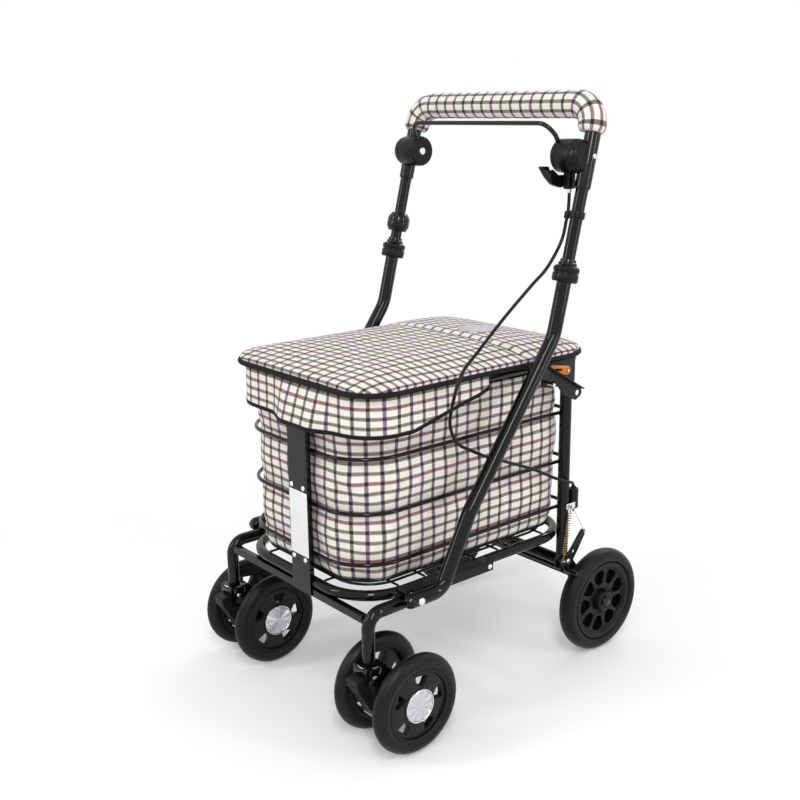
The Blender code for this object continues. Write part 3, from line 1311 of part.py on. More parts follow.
finished(mesh_object("lid_valance", bm), "check_cloth", lid_pivot)

# Bag: a cloth tub that bulges between the hoops and carries upright folds
bag_low = grid_z + GRID_WIRE_D / 2 + GAP
BAG_LEVELS = (bag_low, bag_low + 0.006, 0.2595, 0.2970, 0.336, 0.3765, 0.4173, 0.4500, BAG_TOP)
bag_plan = flat_ring(BAG_HALF, BAG_FRONT, BAG_REAR, 0.068, 0.045, 0)
bag_stations = []
for index, start in enumerate(bag_plan):
    end = bag_plan[(index + 1) % len(bag_plan)]
    pieces = max(1, round((end - start).length / 0.050))
    bag_stations += [start.lerp(end, share / pieces) for share in range(pieces)]
total = len(bag_stations)


def bag_ring(z, inset):
    rings = []
    near = min(abs(z - hoop) for hoop in HOOP_Z)
    bulge = 0.0030 * min(1, near / 0.030)
    if z < 0.25:
        bulge = -0.0100 if z < bag_low + 0.003 else -0.0020
    if z > 0.44:
        bulge = 0.0010
    for index, place in enumerate(bag_stations):
        before = bag_stations[index - 1]
        after = bag_stations[(index + 1) % total]
        flow = (after - before).normalized()
        outward = Vector((flow.y, -flow.x, 0))
        fold = 0.0011 * math.sin(index * 2.3 + z * 9) * min(1, near / 0.02)
        out = place + outward * (bulge + fold - inset)
        rings.append(Vector((out.x, out.y, z)))
    return rings


bm = bmesh.new()
shell = [bag_ring(z, 0) for z in BAG_LEVELS]
inside = [bag_ring(z, BAG_WALL) for z in BAG_LEVELS]
for corner in inside[0]:
    corner.z += BAG_WALL
profile_rings = shell + list(reversed(inside))
rows = [[bm.verts.new(corner) for corner in loop] for loop in profile_rings]
for row, following in zip(rows, rows[1:]):
    for index in range(total):
        other = (index + 1) % total
        bm.faces.new((row[index], row[other], following[other], following[index]))
bm.faces.new(list(reversed(rows[0])))
bm.faces.new(rows[-1])
finished(mesh_object("shopping_bag", bm), "check_cloth")

FORMS = ("brake_spring", "brake_cable", "seat_lid", "lid_valance", "shopping_bag", "grip_pad")
for title in FORMS:
    form = bpy.data.objects[title].data
    form.calc_loop_triangles()
    print(title, len(form.loop_triangles), "triangles")
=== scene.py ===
"""The look of the shopping walker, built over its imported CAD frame."""

import math
from itertools import accumulate

import bmesh
import bpy
from mathutils import Matrix, Vector, noise
from mathutils.bvhtree import BVHTree

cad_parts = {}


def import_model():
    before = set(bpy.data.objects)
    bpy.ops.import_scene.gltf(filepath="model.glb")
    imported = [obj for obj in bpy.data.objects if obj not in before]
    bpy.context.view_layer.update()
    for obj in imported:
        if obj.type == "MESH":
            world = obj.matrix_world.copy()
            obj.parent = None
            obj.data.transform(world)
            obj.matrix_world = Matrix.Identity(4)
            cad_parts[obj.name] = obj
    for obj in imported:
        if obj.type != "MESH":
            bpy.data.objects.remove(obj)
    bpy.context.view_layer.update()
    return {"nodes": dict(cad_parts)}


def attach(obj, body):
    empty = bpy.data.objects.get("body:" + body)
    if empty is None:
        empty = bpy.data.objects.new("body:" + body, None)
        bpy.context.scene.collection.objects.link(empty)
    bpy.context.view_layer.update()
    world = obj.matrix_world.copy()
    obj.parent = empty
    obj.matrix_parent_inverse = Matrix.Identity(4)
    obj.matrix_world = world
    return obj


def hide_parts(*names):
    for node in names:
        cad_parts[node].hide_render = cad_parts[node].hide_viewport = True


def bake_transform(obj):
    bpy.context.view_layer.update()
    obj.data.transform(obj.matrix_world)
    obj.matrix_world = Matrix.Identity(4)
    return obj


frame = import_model()

# Sizes in metres, worked out as in the part's source. The front is -Y and +X is the user's left.
GAP = 0.0003
RING_HALF = 0.1555
RING_Z = 0.214
RING_D = 0.016
RING_FRONT = -0.2655
RING_REAR = 0.178
HANDLE_X = RING_HALF + 0.0440
HANDLE_LEAN = math.radians(14.3)
CLAMP_Y = 0.0955
CLAMP_Z = 0.6486
SIDE_TUBE_D = 0.022
LOOP_TUBE_D = 0.019
LOOP_BOTTOM = 0.070
HANDLE_TOP_Z = 0.8905
HANDLE_CORNER_R = 0.035
LOOP_TOP = (HANDLE_TOP_Z - CLAMP_Z) / math.cos(HANDLE_LEAN)
PAD_D = 0.042
PAD_INSET = 0.004
PAD_END = LOOP_TOP - 0.0411
KNEE = (0.072, 0.5574)
FOOT_BEND = (-0.098, 0.3235)
HEEL_BEND = (-0.1520, 0.2190)
FOOT_END = (-0.211, 0.2190)
TOE_LONG = 0.0098
PIVOT_Y = -0.1985
PIVOT_Z = 0.2190
COLLAR_D = 0.039
COLLAR_H = 0.024
BUSH_D = 0.026
BUSH_H = 0.009
HUB_Y = 0.126
HUB_Z = HANDLE_TOP_Z - 0.0735
HUB_R = 0.025
HUB_IN = HANDLE_X - 0.0355
HUB_OUT = HANDLE_X + 0.0065
SOCKET_D = 0.024
SOCKET_LOW = LOOP_TOP - 0.1243
BAIL_R = 0.0245
BAIL_IN = HUB_IN - 0.0085
BAIL_D = 0.007
PARK_Y = HUB_Y - 0.004
PARK_Z = HUB_Z - 0.034
FERRULE = (HUB_IN + 0.013, HUB_Y - 0.002, HUB_Z - 0.047)
LEG_X = RING_HALF + 0.0230
LEG_Y = -0.270
LEG_D = 0.019
LEG_BOTTOM = 0.1375
LEG_RUN_Z = 0.2090
LEG_REAR = -0.2095
LEG_BEND_R = 0.022
CHANNEL_X = 0.027
CHANNEL_W = 0.046
CHANNEL_FRONT = -0.276
CHANNEL_REAR = -0.268
UPRIGHT_X = RING_HALF + 0.0075
UPRIGHT_Y = 0.145
UPRIGHT_D = 0.019
HOOP_Z = (0.4173, 0.336, 0.2595)
HOOP_D = 0.006
HOOP_HALF = UPRIGHT_X - UPRIGHT_D / 2 - GAP - HOOP_D / 2
HOOP_FRONT = CHANNEL_REAR + GAP + HOOP_D / 2
HOOP_REAR = 0.172
SEAT_Z = 0.504
SEAT_D = 0.014
SEAT_HALF = UPRIGHT_X - 0.0055
SEAT_FRONT = -0.251
SEAT_REAR = 0.182
RAIL_X = RING_HALF + 0.0199
RAIL_W = 0.0222
RAIL_LOW = 0.212
RAIL_TOP = 0.226
RAIL_REAR = -0.035
RAIL_WALL = 0.0015
GRID_WIRE_D = 0.004
PLATE_IN = UPRIGHT_X - 0.0055
PLATE_OUT = UPRIGHT_X - 0.0025
REAR_X = PLATE_OUT + 0.0245
REAR_R = 0.0875
REAR_Y = UPRIGHT_Y - 0.0185 + REAR_R
REAR_W = 0.030
REAR_RIM_R = REAR_R - 0.0215
SHOE_D = 0.008
SHOE_REACH = REAR_R + SHOE_D / 2 + 0.0025
SHOE_ANGLE = math.radians(44.8)
SHOE_Y = REAR_Y - SHOE_REACH * math.cos(SHOE_ANGLE)
SHOE_Z = REAR_R + SHOE_REACH * math.sin(SHOE_ANGLE)
BRAKE_Y = SHOE_Y + 0.0107
BRAKE_Z = SHOE_Z + 0.01026
CROSS_Z = SHOE_Z + 0.01476
CROSS_D = 0.019
UPRIGHT_LOW = CROSS_Z + 0.0125
ARM_IN = PLATE_OUT + 0.0027
ARM_OUT = ARM_IN + 0.003
ARM_TOP = (BRAKE_Y + 0.038, BRAKE_Z + 0.041)
ARM_MID = (BRAKE_Y + 0.013, BRAKE_Z + 0.014)
CASTER_R = 0.075
CASTER_W = 0.026
CASTER_TRACK = 0.044
CASTER_TRAIL = 0.047
AXLE_Y = LEG_Y + CASTER_TRAIL
LID_HALF = SEAT_HALF + 0.0187
LID_FRONT = -0.265
LID_REAR = 0.195
LID_LOW = SEAT_Z + SEAT_D / 2 + GAP
LID_CROWN = 0.540
LID_CORNER_R = 0.058
SEAM_Y = 0.045
LID_HINGE_Y = 0.2005
LID_HINGE_Z = 0.514
HINGE_X = 0.1
VALANCE_HALF = SEAT_HALF + 0.0097
VALANCE_LOW = 0.4515
VALANCE_BULGE = 0.019
BULGE_SLOPE = 0.028
BAG_HALF = RING_HALF - 0.012
BAG_FRONT = -0.2555
BAG_REAR = 0.1645
BAG_TOP = 0.490
LATCH_Y = 0.086
LATCH_Z = SEAT_Z - 0.0242
LEVER_Y = 0.062
LEVER_Z = SEAT_Z - 0.001
LEVER_IN = HANDLE_X - 0.011
LEVER_OUT = HANDLE_X - 0.009
CATCH_Y = 0.1235
CATCH_Z = SEAT_Z - 0.0085
CABLE_D = 0.005
WIRE_D = 0.0016
SPRING_X = UPRIGHT_X + 0.015
SPRING_TOP = (0.147, 0.264)
SPRING_LOW = (SHOE_Y - 0.0158, SHOE_Z + 0.02226)
SPRING_WIRE_D = 0.0016
SPRING_R = 0.0033
SPRING_CURLS = 17
SPRING_LOOP_R = 0.0026

# The camera, solved from the photograph
CAMERA_AZIMUTH = math.radians(50.3275)
CAMERA_ELEVATION = math.radians(14.9453)
CAMERA_ROLL = math.radians(-0.7243)
CAMERA_PLACE = (1.2786, -1.1197, 0.8885)
CAMERA_LENS = 49.28

COLUMN = 0.0223
ROW = 0.0148
BAG_COLUMN = 0.0228
BAG_ROW = 0.01463
LINE_WIDE = 0.25
LINE_HIGH = 0.37


# Materials
def link(tree, source, target):
    tree.links.new(source, target)


def add_node(tree, kind, **settings):
    made = tree.nodes.new(kind)
    for key, value in settings.items():
        setattr(made, key, value)
    return made


def plug(tree, socket, value):
    """Link an output to the socket, or set a number or a colour on it."""
    if isinstance(value, bpy.types.NodeSocket):
        link(tree, value, socket)
    else:
        socket.default_value = (*value, 1) if isinstance(value, tuple) else value


def calc(tree, operation, *values):
    """The output of one Math node."""
    made = add_node(tree, "ShaderNodeMath", operation=operation)
    for socket, value in zip(made.inputs, values):
        plug(tree, socket, value)
    return made.outputs[0]


def blended(tree, share, first, second):
    """The output of one colour Mix node."""
    made = add_node(tree, "ShaderNodeMix", data_type="RGBA")
    plug(tree, made.inputs[0], share)
    plug(tree, made.inputs[6], first)
    plug(tree, made.inputs[7], second)
    return made.outputs[2]


def ranged(tree, value, low, high, to_low, to_high):
    """The output of one Map Range node."""
    made = add_node(tree, "ShaderNodeMapRange")
    for socket, given in zip(made.inputs, (value, low, high, to_low, to_high)):
        plug(tree, socket, given)
    return made.outputs[0]


def object_place(tree):
    return add_node(tree, "ShaderNodeTexCoord").outputs["Object"]


def texture(tree, kind, inputs, **settings):
    """The outputs of a texture in the object's own coordinates."""
    made = add_node(tree, "ShaderNodeTex" + kind, **settings)
    for title, value in inputs.items():
        made.inputs[title].default_value = value
    link(tree, object_place(tree), made.inputs["Vector"])
    return made.outputs


def speckle(tree, scale, detail):
    """The grey output of a noise texture."""
    return texture(tree, "Noise", {"Scale": scale, "Detail": detail})[0]


def bumped(tree, shader, height, strength, distance):
    made = add_node(tree, "ShaderNodeBump")
    made.inputs["Strength"].default_value = strength
    made.inputs["Distance"].default_value = distance
    link(tree, height, made.inputs["Height"])
    link(tree, made.outputs[0], shader.inputs["Normal"])


def bands(tree, direction, scale, distortion):
    """The grey output of a texture of even bands."""
    inputs = {"Scale": scale, "Distortion": distortion}
    return texture(tree, "Wave", inputs, wave_type="BANDS", bands_direction=direction)[1]


def between(tree, shader, share, first, second):
    """Give the shader a colour between two."""
    link(tree, blended(tree, share, first, second), shader.inputs["Base Color"])


def mottled(tree, shader, spots, low, high, first, second, most=1.0):
    """Give the shader a colour that wanders between two, where the noise runs from low to high."""
    between(tree, shader, ranged(tree, speckle(tree, *spots), low, high, 0.0, most), first, second)


def base_material(name, colour, roughness, **inputs):
    """A material, its tree and its shader. Any other inputs of the shader are set by their names."""
    made = bpy.data.materials.new(name)
    made.use_nodes = True
    tree = made.node_tree
    shader = tree.nodes["Principled BSDF"]
    for title, value in {"Base_Color": colour, "Roughness": roughness, **inputs}.items():
        plug(tree, shader.inputs[title.replace("_", " ")], value)
    return made, tree, shader


def worn_finish(name, colour, worn, roughness, grain, bump, dust=0.03, shine=0.2, coat=0.0, metallic=0.0):
    """A finish with patchy roughness, fine grain, a little dust on its upper sides and paler edges.

    roughness is (low, high), grain is the noise scale and bump its height in metres.
    """
    made, tree, shader = base_material(
        name, colour, roughness[0], Metallic=metallic, Specular_IOR_Level=shine, Coat_Weight=coat,
        Coat_Roughness=0.08,
    )
    patches = ranged(tree, speckle(tree, 35, 4), 0.35, 0.70, *roughness)
    link(tree, patches, shader.inputs["Roughness"])
    geometry = add_node(tree, "ShaderNodeNewGeometry")
    edge = ranged(tree, geometry.outputs["Pointiness"], 0.55, 0.64, 0.0, 0.30)
    upward = add_node(tree, "ShaderNodeSeparateXYZ")
    link(tree, geometry.outputs["Normal"], upward.inputs[0])
    settled = ranged(tree, upward.outputs[2], 0.5, 1.0, 0.0, dust)
    scuffs = ranged(tree, speckle(tree, 90, 6), 0.52, 0.72, 0.0, 1.0)
    between(tree, shader, calc(tree, "MULTIPLY", calc(tree, "ADD", edge, settled), scuffs), colour, worn)
    bumped(tree, shader, speckle(tree, grain, 2), 1.0, bump)
    return made


def near_line(tree, cells, share):
    """1 where a coordinate in cells is within a line centred on a whole number."""
    offset = calc(tree, "SUBTRACT", cells, calc(tree, "ROUND", cells))
    return calc(tree, "LESS_THAN", calc(tree, "ABSOLUTE", offset), share / 2)


def every_fourth(tree, cells):
    """1 where the nearest whole number is a multiple of four."""
    turn = calc(tree, "FLOORED_MODULO", calc(tree, "ROUND", cells), 4.0)
    return calc(tree, "LESS_THAN", turn, 0.5)


CREAM = (0.91, 0.865, 0.810)
CREAM_SHADE = (0.82, 0.780, 0.720)
INK = (0.010, 0.010, 0.014)
PLUM = (0.090, 0.014, 0.150)
OLIVE = (0.085, 0.052, 0.010)
CLARET = (0.190, 0.010, 0.028)
INK_KNOT = (0.004, 0.004, 0.005)
PLUM_KNOT = (0.025, 0.005, 0.034)
CLARET_KNOT = (0.035, 0.004, 0.008)


LINE_WOBBLE = 0.05
TWILL_TURNS = (9.0, 6.0)
THREAD_TURNS = (26.0, 17.0)


def check_cloth():
    """Cream cloth with a woven check, whose UV map counts the pattern's cells."""
    made, tree, shader = base_material("check_cloth", CREAM, 0.82, Sheen_Weight=0.12)

    def times(first, second):
        return calc(tree, "MULTIPLY", first, second)

    split = add_node(tree, "ShaderNodeSeparateXYZ")
    link(tree, add_node(tree, "ShaderNodeUVMap", uv_map="cloth").outputs[0], split.inputs[0])
    across, down = split.outputs[0], split.outputs[1]
    wobble = times(calc(tree, "SUBTRACT", speckle(tree, 60, 2), 0.5), LINE_WOBBLE)
    column = near_line(tree, calc(tree, "ADD", across, wobble), LINE_WIDE)
    row = near_line(tree, calc(tree, "ADD", down, wobble), LINE_HIGH)
    plum, claret = every_fourth(tree, across), every_fourth(tree, down)
    twill = calc(tree, "ADD", times(across, TWILL_TURNS[0]), times(down, TWILL_TURNS[1]))
    hatch = calc(tree, "LESS_THAN", calc(tree, "FRACT", twill), 0.80)
    shade = ranged(tree, speckle(tree, 22, 5), 0.35, 0.75, 0.0, 0.45)
    ground = blended(tree, shade, CREAM, CREAM_SHADE)
    with_column = blended(tree, times(column, hatch), ground, blended(tree, plum, INK, PLUM))
    with_row = blended(tree, times(row, hatch), with_column, blended(tree, claret, OLIVE, CLARET))
    knot = blended(tree, plum, blended(tree, claret, INK_KNOT, CLARET_KNOT), PLUM_KNOT)
    between(tree, shader, times(column, row), with_row, knot)
    threads = [
        calc(tree, "SINE", times(cells, count * 2 * math.pi))
        for cells, count in zip((across, down), THREAD_TURNS)
    ]
    fuzz = times(speckle(tree, 900, 3), 1.5)
    bumped(tree, shader, calc(tree, "ADD", times(*threads), fuzz), 0.55, 0.00022)
    link(tree, ranged(tree, speckle(tree, 120, 3), 0.3, 0.7, 0.74, 0.92), shader.inputs["Roughness"])
    return made


def grey(level):
    return (level, level, level)


def binding_tape():
    """Black woven tape with fine ribs."""
    made, tree, shader = base_material("binding_tape", grey(0.008), 0.70, Specular_IOR_Level=0.15)
    mottled(tree, shader, (700, 3), 0.35, 0.75, grey(0.004), (0.020, 0.019, 0.019))
    height = calc(tree, "ADD", bands(tree, "DIAGONAL", 420, 1.0), speckle(tree, 500, 2))
    bumped(tree, shader, height, 0.6, 0.00025)
    return made


def orange_plastic():
    """Clear orange plastic that lets a little light through."""
    made, tree, shader = base_material(
        "orange_plastic", (0.86, 0.24, 0.012), 0.22, Transmission_Weight=0.25, IOR=1.49
    )
    mottled(tree, shader, (80, 3), 0.3, 0.7, (0.86, 0.27, 0.015), (0.74, 0.17, 0.008))
    bumped(tree, shader, speckle(tree, 300, 2), 0.5, 0.00005)
    return made


def cap_reflector():
    """The silver wheel cap's face: small pressed cells under a clear skin."""
    made, tree, shader = base_material("cap_reflector", (0.70, 0.71, 0.74), 0.20, Metallic=0.9)
    cells = texture(tree, "Voronoi", {"Scale": 520}, feature="F1")[0]
    between(tree, shader, ranged(tree, cells, 0.0, 0.8, 0.0, 1.0), (0.78, 0.79, 0.84), (0.52, 0.52, 0.56))
    bumped(tree, shader, cells, 0.8, 0.0003)
    return made


def label_white():
    """The bare white plate, with faint handling marks."""
    made, tree, shader = base_material("label_white", (0.80, 0.80, 0.81), 0.35)
    mottled(tree, shader, (45, 6), 0.50, 0.80, (0.80, 0.80, 0.81), (0.62, 0.61, 0.60), most=0.5)
    bumped(tree, shader, speckle(tree, 250, 2), 0.4, 0.00004)
    return made


SKY_LEVEL = 0.62


def seen_ray(tree):
    """1 for the rays that show a thing: straight, in gloss and through something clear."""
    rays = add_node(tree, "ShaderNodeLightPath").outputs
    shown = calc(tree, "MAXIMUM", rays["Is Camera Ray"], rays["Is Glossy Ray"])
    return calc(tree, "MAXIMUM", shown, rays["Is Transmission Ray"])


FLOOR_GLOW = 0.14
SHADOW_REACH = (0.40, 1.05)


def floor_finish():
    """White paper that keeps the soft shadow round the object and runs out to plain white."""
    made, tree, shader = base_material(
        "floor", grey(0.90), 0.9, Specular_IOR_Level=0.0, Emission_Color=grey(1)
    )
    seen = seen_ray(tree)
    link(tree, calc(tree, "MULTIPLY", seen, FLOOR_GLOW), shader.inputs["Emission Strength"])
    reach = add_node(tree, "ShaderNodeVectorMath", operation="LENGTH")
    link(tree, object_place(tree), reach.inputs[0])
    far = ranged(tree, reach.outputs["Value"], *SHADOW_REACH, 0.0, 1.0)
    mixed = add_node(tree, "ShaderNodeMixShader")
    link(tree, calc(tree, "MULTIPLY", seen, far), mixed.inputs[0])
    link(tree, shader.outputs[0], mixed.inputs[1])
    link(tree, add_node(tree, "ShaderNodeEmission").outputs[0], mixed.inputs[2])
    output = next(node for node in tree.nodes if node.type == "OUTPUT_MATERIAL")
    link(tree, mixed.outputs[0], output.inputs["Surface"])
    return made


def patch_felt():
    """Pale grey embroidery: short raised threads, with nothing pictured on it."""
    made, tree, shader = base_material("patch_felt", (0.62, 0.62, 0.66), 0.8, Sheen_Weight=0.15)
    mottled(tree, shader, (420, 4), 0.35, 0.65, (0.52, 0.52, 0.57), (0.74, 0.74, 0.77))
    height = calc(tree, "ADD", bands(tree, "X", 320, 2.0), speckle(tree, 600, 2))
    bumped(tree, shader, height, 0.8, 0.0004)
    return made


FINISHES = (
    ("frame_paint", (0.0025, 0.0024, 0.0024), grey(0.03), (0.05, 0.13), 220, 0.00004,
     {"coat": 0.2, "shine": 0.18}),
    ("rail_paint", grey(0.006), grey(0.04), (0.26, 0.40), 420, 0.00008, {"dust": 0.06}),
    ("bright_metal", (0.80, 0.80, 0.81), (0.55, 0.54, 0.52), (0.16, 0.34), 500, 0.00004,
     {"metallic": 1.0, "shine": 0.5}),
    ("black_plastic", grey(0.0045), grey(0.03), (0.24, 0.38), 800, 0.00008, {}),
    ("gloss_plastic", grey(0.003), grey(0.03), (0.08, 0.18), 300, 0.00005, {"coat": 0.2, "shine": 0.25}),
    ("lever_metal", (0.016, 0.015, 0.015), grey(0.09), (0.30, 0.46), 500, 0.0001, {}),
    ("tyre_rubber", (0.0062, 0.0057, 0.0055), (0.030, 0.028, 0.027), (0.34, 0.48), 350, 0.0001,
     {"dust": 0.10}),
    ("wheel_plastic", grey(0.004), grey(0.03), (0.20, 0.34), 600, 0.00006, {}),
    ("disc_plastic", (0.011, 0.0105, 0.0105), grey(0.05), (0.24, 0.38), 600, 0.00006, {"dust": 0.06}),
    ("pedal_plastic", grey(0.010), grey(0.05), (0.34, 0.50), 500, 0.0001, {"dust": 0.08}),
    ("pale_plastic", (0.42, 0.42, 0.43), grey(0.25), (0.40, 0.55), 500, 0.00008, {}),
    ("cable_jacket", grey(0.005), grey(0.03), (0.24, 0.36), 500, 0.00006, {}),
    ("spring_brass", (0.36, 0.24, 0.09), (0.18, 0.12, 0.05), (0.24, 0.42), 600, 0.00003,
     {"metallic": 1.0, "shine": 0.5}),
)
MAT = {name: worn_finish(name, *row, **more) for name, *row, more in FINISHES}
for finish in (patch_felt, check_cloth, binding_tape, orange_plastic, cap_reflector, label_white):
    MAT[finish.__name__] = finish()


# Mesh helpers
def linked(name, data):
    """A new object in the scene."""
    made = bpy.data.objects.new(name, data)
    bpy.context.scene.collection.objects.link(made)
    return made


def placed(name, mesh, finish, body, nodes=(), sharp=40):
    """A linked piece with its finish, smooth shading and the body it rides on."""
    piece = linked(name, mesh)
    mesh.materials.clear()
    mesh.materials.append(MAT[finish])
    mesh.polygons.foreach_set("use_smooth", [True] * len(mesh.polygons))
    mesh.set_sharp_from_angle(angle=math.radians(sharp))
    if body:
        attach(piece, body)
    if nodes:
        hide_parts(*nodes)
    return piece


def evaluated(holder):
    """The finished mesh of an object, which is then removed."""
    bpy.context.view_layer.update()
    graph = bpy.context.evaluated_depsgraph_get()
    mesh = bpy.data.meshes.new_from_object(holder.evaluated_get(graph))
    bpy.data.objects.remove(holder, do_unlink=True)
    return mesh


def cleaned(mesh):
    """The mesh with its double points merged and its faces turned outwards."""
    bm = bmesh.new()
    bm.from_mesh(mesh)
    bmesh.ops.remove_doubles(bm, verts=bm.verts, dist=1e-6)
    bmesh.ops.recalc_face_normals(bm, faces=bm.faces)
    bm.to_mesh(mesh)
    bm.free()
    return mesh


def grid_mesh(name, rows, closed=(False, False), cells=None, caps=False):
    """Quads between rows of points. cells(i, j) gives the cloth map's place of a corner."""
    count, width = len(rows), len(rows[0])
    faces = []
    corners = []
    for i in range(count if closed[0] else count - 1):
        for j in range(width if closed[1] else width - 1):
            following, beside = (i + 1) % count, (j + 1) % width
            near, far = i * width, following * width
            faces.append((near + j, near + beside, far + beside, far + j))
            corners += [(i, j), (i, j + 1), (i + 1, j + 1), (i + 1, j)]
    if caps:
        faces.append(tuple(reversed(range(width))))
        corners += [(0, j) for j in reversed(range(width))]
        faces.append(tuple((count - 1) * width + j for j in range(width)))
        corners += [(count - 1, j) for j in range(width)]
    mesh = bpy.data.meshes.new(name)
    mesh.from_pydata([tuple(point) for row in rows for point in row], [], faces)
    if cells:
        layer = mesh.uv_layers.new(name="cloth")
        layer.data.foreach_set("uv", [value for corner in corners for value in cells(*corner)])
    return cleaned(mesh)


def rounded(corners, radii, step=6):
    """The path through the corners, with an arc at each one. A radius of 0 keeps the corner sharp."""
    corners = [Vector(corner) for corner in corners]
    if not isinstance(radii, (list, tuple)):
        radii = [radii] * len(corners)
    path = []
    for index, (corner, radius) in enumerate(zip(corners, radii)):
        if radius == 0:
            path.append(corner)
            continue
        before = (corners[index - 1] - corner).normalized()
        after = (corners[(index + 1) % len(corners)] - corner).normalized()
        turn = math.pi - before.angle(after)
        reach = radius * math.tan(turn / 2)
        centre = corner + (before + after).normalized() * (radius / math.cos(turn / 2))
        start = corner + before * reach - centre
        end = corner + after * reach - centre
        steps = max(2, round(math.degrees(turn) / step))
        for angle in stepped(0.0, turn, steps):
            share = start * math.sin(turn - angle) + end * math.sin(angle)
            path.append(centre + share / math.sin(turn))
    return path


def reaches(path):
    """The distance along the path to each of its points."""
    return list(accumulate(((end - start).length for start, end in zip(path, path[1:])), initial=0.0))


def spaced(path, spacing, closed=False):
    """The same path with its points evenly spaced."""
    path = [*path, path[0]] if closed else path
    reach = reaches(path)
    count = max(2, round(reach[-1] / spacing))
    places = []
    segment = 0
    for step in range(count if closed else count + 1):
        distance = reach[-1] * step / count
        while segment < len(path) - 2 and reach[segment + 1] < distance:
            segment += 1
        span = reach[segment + 1] - reach[segment]
        share = (distance - reach[segment]) / span if span else 0.0
        places.append(path[segment].lerp(path[segment + 1], min(1.0, share)))
    return places


def stepped(low, high, count):
    """Evenly spaced values from low to high."""
    return [low + (high - low) * step / count for step in range(count + 1)]


def turns(count, shift=0.0):
    """Evenly spaced angles round a full turn."""
    return [2 * math.pi * (step + shift) / count for step in range(count)]


def tangents(path, closed=False):
    """The direction of the path at each of its points."""
    first, last = (path[-1], path[0]) if closed else (path[0], path[-1])
    pairs = zip([first, *path[:-1]], [*path[1:], last])
    return [(after - before).normalized() for before, after in pairs]


def frames(path, closed=False):
    """A tangent and two side directions at each point, carried along without twist."""
    flows = tangents(path, closed)
    side = flows[0].cross(Vector((0, 0, 1)))
    if side.length < 0.1:
        side = flows[0].cross(Vector((0, 1, 0)))
    result = []
    for flow in flows:
        side = (side - flow * side.dot(flow)).normalized()
        result.append((flow, side, flow.cross(side)))
    return result


def bar_mesh(name, path, radii, sides=20, closed=False):
    """A round bar along the path, with a radius for each of its points."""
    rows = []
    for point, size, (_, side, other) in zip(path, radii, frames(path, closed)):
        rows.append([point + (side * math.cos(a) + other * math.sin(a)) * size for a in turns(sides)])
    return grid_mesh(name, rows, (closed, True), caps=not closed)


def bar(name, path, diameter, finish, body, nodes=(), sides=20, closed=False, dish=0.0):
    """A tube piece. dish is the size of the small hollow with a bevelled rim at its open ends."""
    path = [Vector(point) for point in path]
    radii = [diameter / 2] * len(path)
    if dish:
        deep = min(dish, diameter / 2)
        insets = [deep * (1 - math.sin(math.pi / 8 * step)) for step in range(4)]
        first = (path[1] - path[0]).normalized()
        last = (path[-2] - path[-1]).normalized()
        starts = [path[0] + first * inset for inset in (*insets, deep)]
        ends = [path[-1] + last * inset for inset in (deep, *reversed(insets))]
        path = starts + path[1:-1] + ends
        rims = [diameter / 2 - inset for inset in insets]
        radii = rims + radii + rims[::-1]
    return placed(name, bar_mesh(name, path, radii, sides, closed), finish, body, nodes)


def lathe_mesh(name, profile, steps, place, ribs=None):
    """A closed (radius, height) profile turned about Z. ribs(angle, radius) changes the radius."""
    rows = []
    for angle in turns(steps):
        row = []
        for radius, height in profile:
            size = ribs(angle, radius) if ribs else radius
            row.append(place @ Vector((size * math.cos(angle), size * math.sin(angle), height)))
        rows.append(row)
    return grid_mesh(name, rows, (True, True))


def lathe(name, profile, finish, body, place, nodes=(), steps=64, soft=0.0006, ribs=None):
    """A turned piece with its profile's corners softened."""
    points = [(radius, height, 0) for radius, height in profile]
    radii = [0 if radius == 0 else soft for radius, height in profile]
    smooth = [(point.x, point.y) for point in rounded(points, radii, 30)]
    return placed(name, lathe_mesh(name, smooth, steps, place, ribs), finish, body, nodes, 50)


def facing_x(x, y, z, outward=1):
    """The place of a turned piece whose axis runs along X, away from the middle plane or towards it."""
    return Matrix.Translation((x, y, z)) @ Matrix.Rotation(outward * math.pi / 2, 4, "Y")


def along(start, end):
    """The place of a turned piece that runs from start to end."""
    start, end = Vector(start), Vector(end)
    turn = (end - start).to_track_quat("Z", "Y").to_matrix().to_4x4()
    return Matrix.Translation(start) @ turn


def sleeve(inner, outer, low, high):
    """The profile of a plain turned ring."""
    return [(inner, low), (outer, low), (outer, high), (inner, high)]


def mirrored(profile):
    """The upper half of a profile, which ends at its middle point, with its mirror image below."""
    return profile + [(radius, -height) for radius, height in profile[-2::-1]]


def along_x(sign, low, high, spot):
    """The ends of a piece along X, given by their distances from the middle plane and its (y, z)."""
    return (sign * low, *spot), (sign * high, *spot)


def pin(name, start, end, diameter, finish, body, nodes=(), edge=0.0005):
    """A short round piece with soft edges."""
    long = (Vector(end) - Vector(start)).length
    profile = [(0, 0), (diameter / 2, 0), (diameter / 2, long), (0, long)]
    return lathe(name, profile, finish, body, along(start, end), nodes, 24, min(edge, long / 3))


def rivet(name, start, end, diameter, finish, body):
    """A domed head that stands on start and points towards end."""
    half = diameter / 2
    rise = (Vector(end) - Vector(start)).length
    dome = [(half * math.cos(a), rise * math.sin(a)) for a in (0, 0.3, 0.6, 0.9, 1.2, 1.4)]
    profile = [(0, -0.0006), (half, -0.0006), *dome, (0, rise)]
    return lathe(name, profile, finish, body, along(start, end), soft=0)


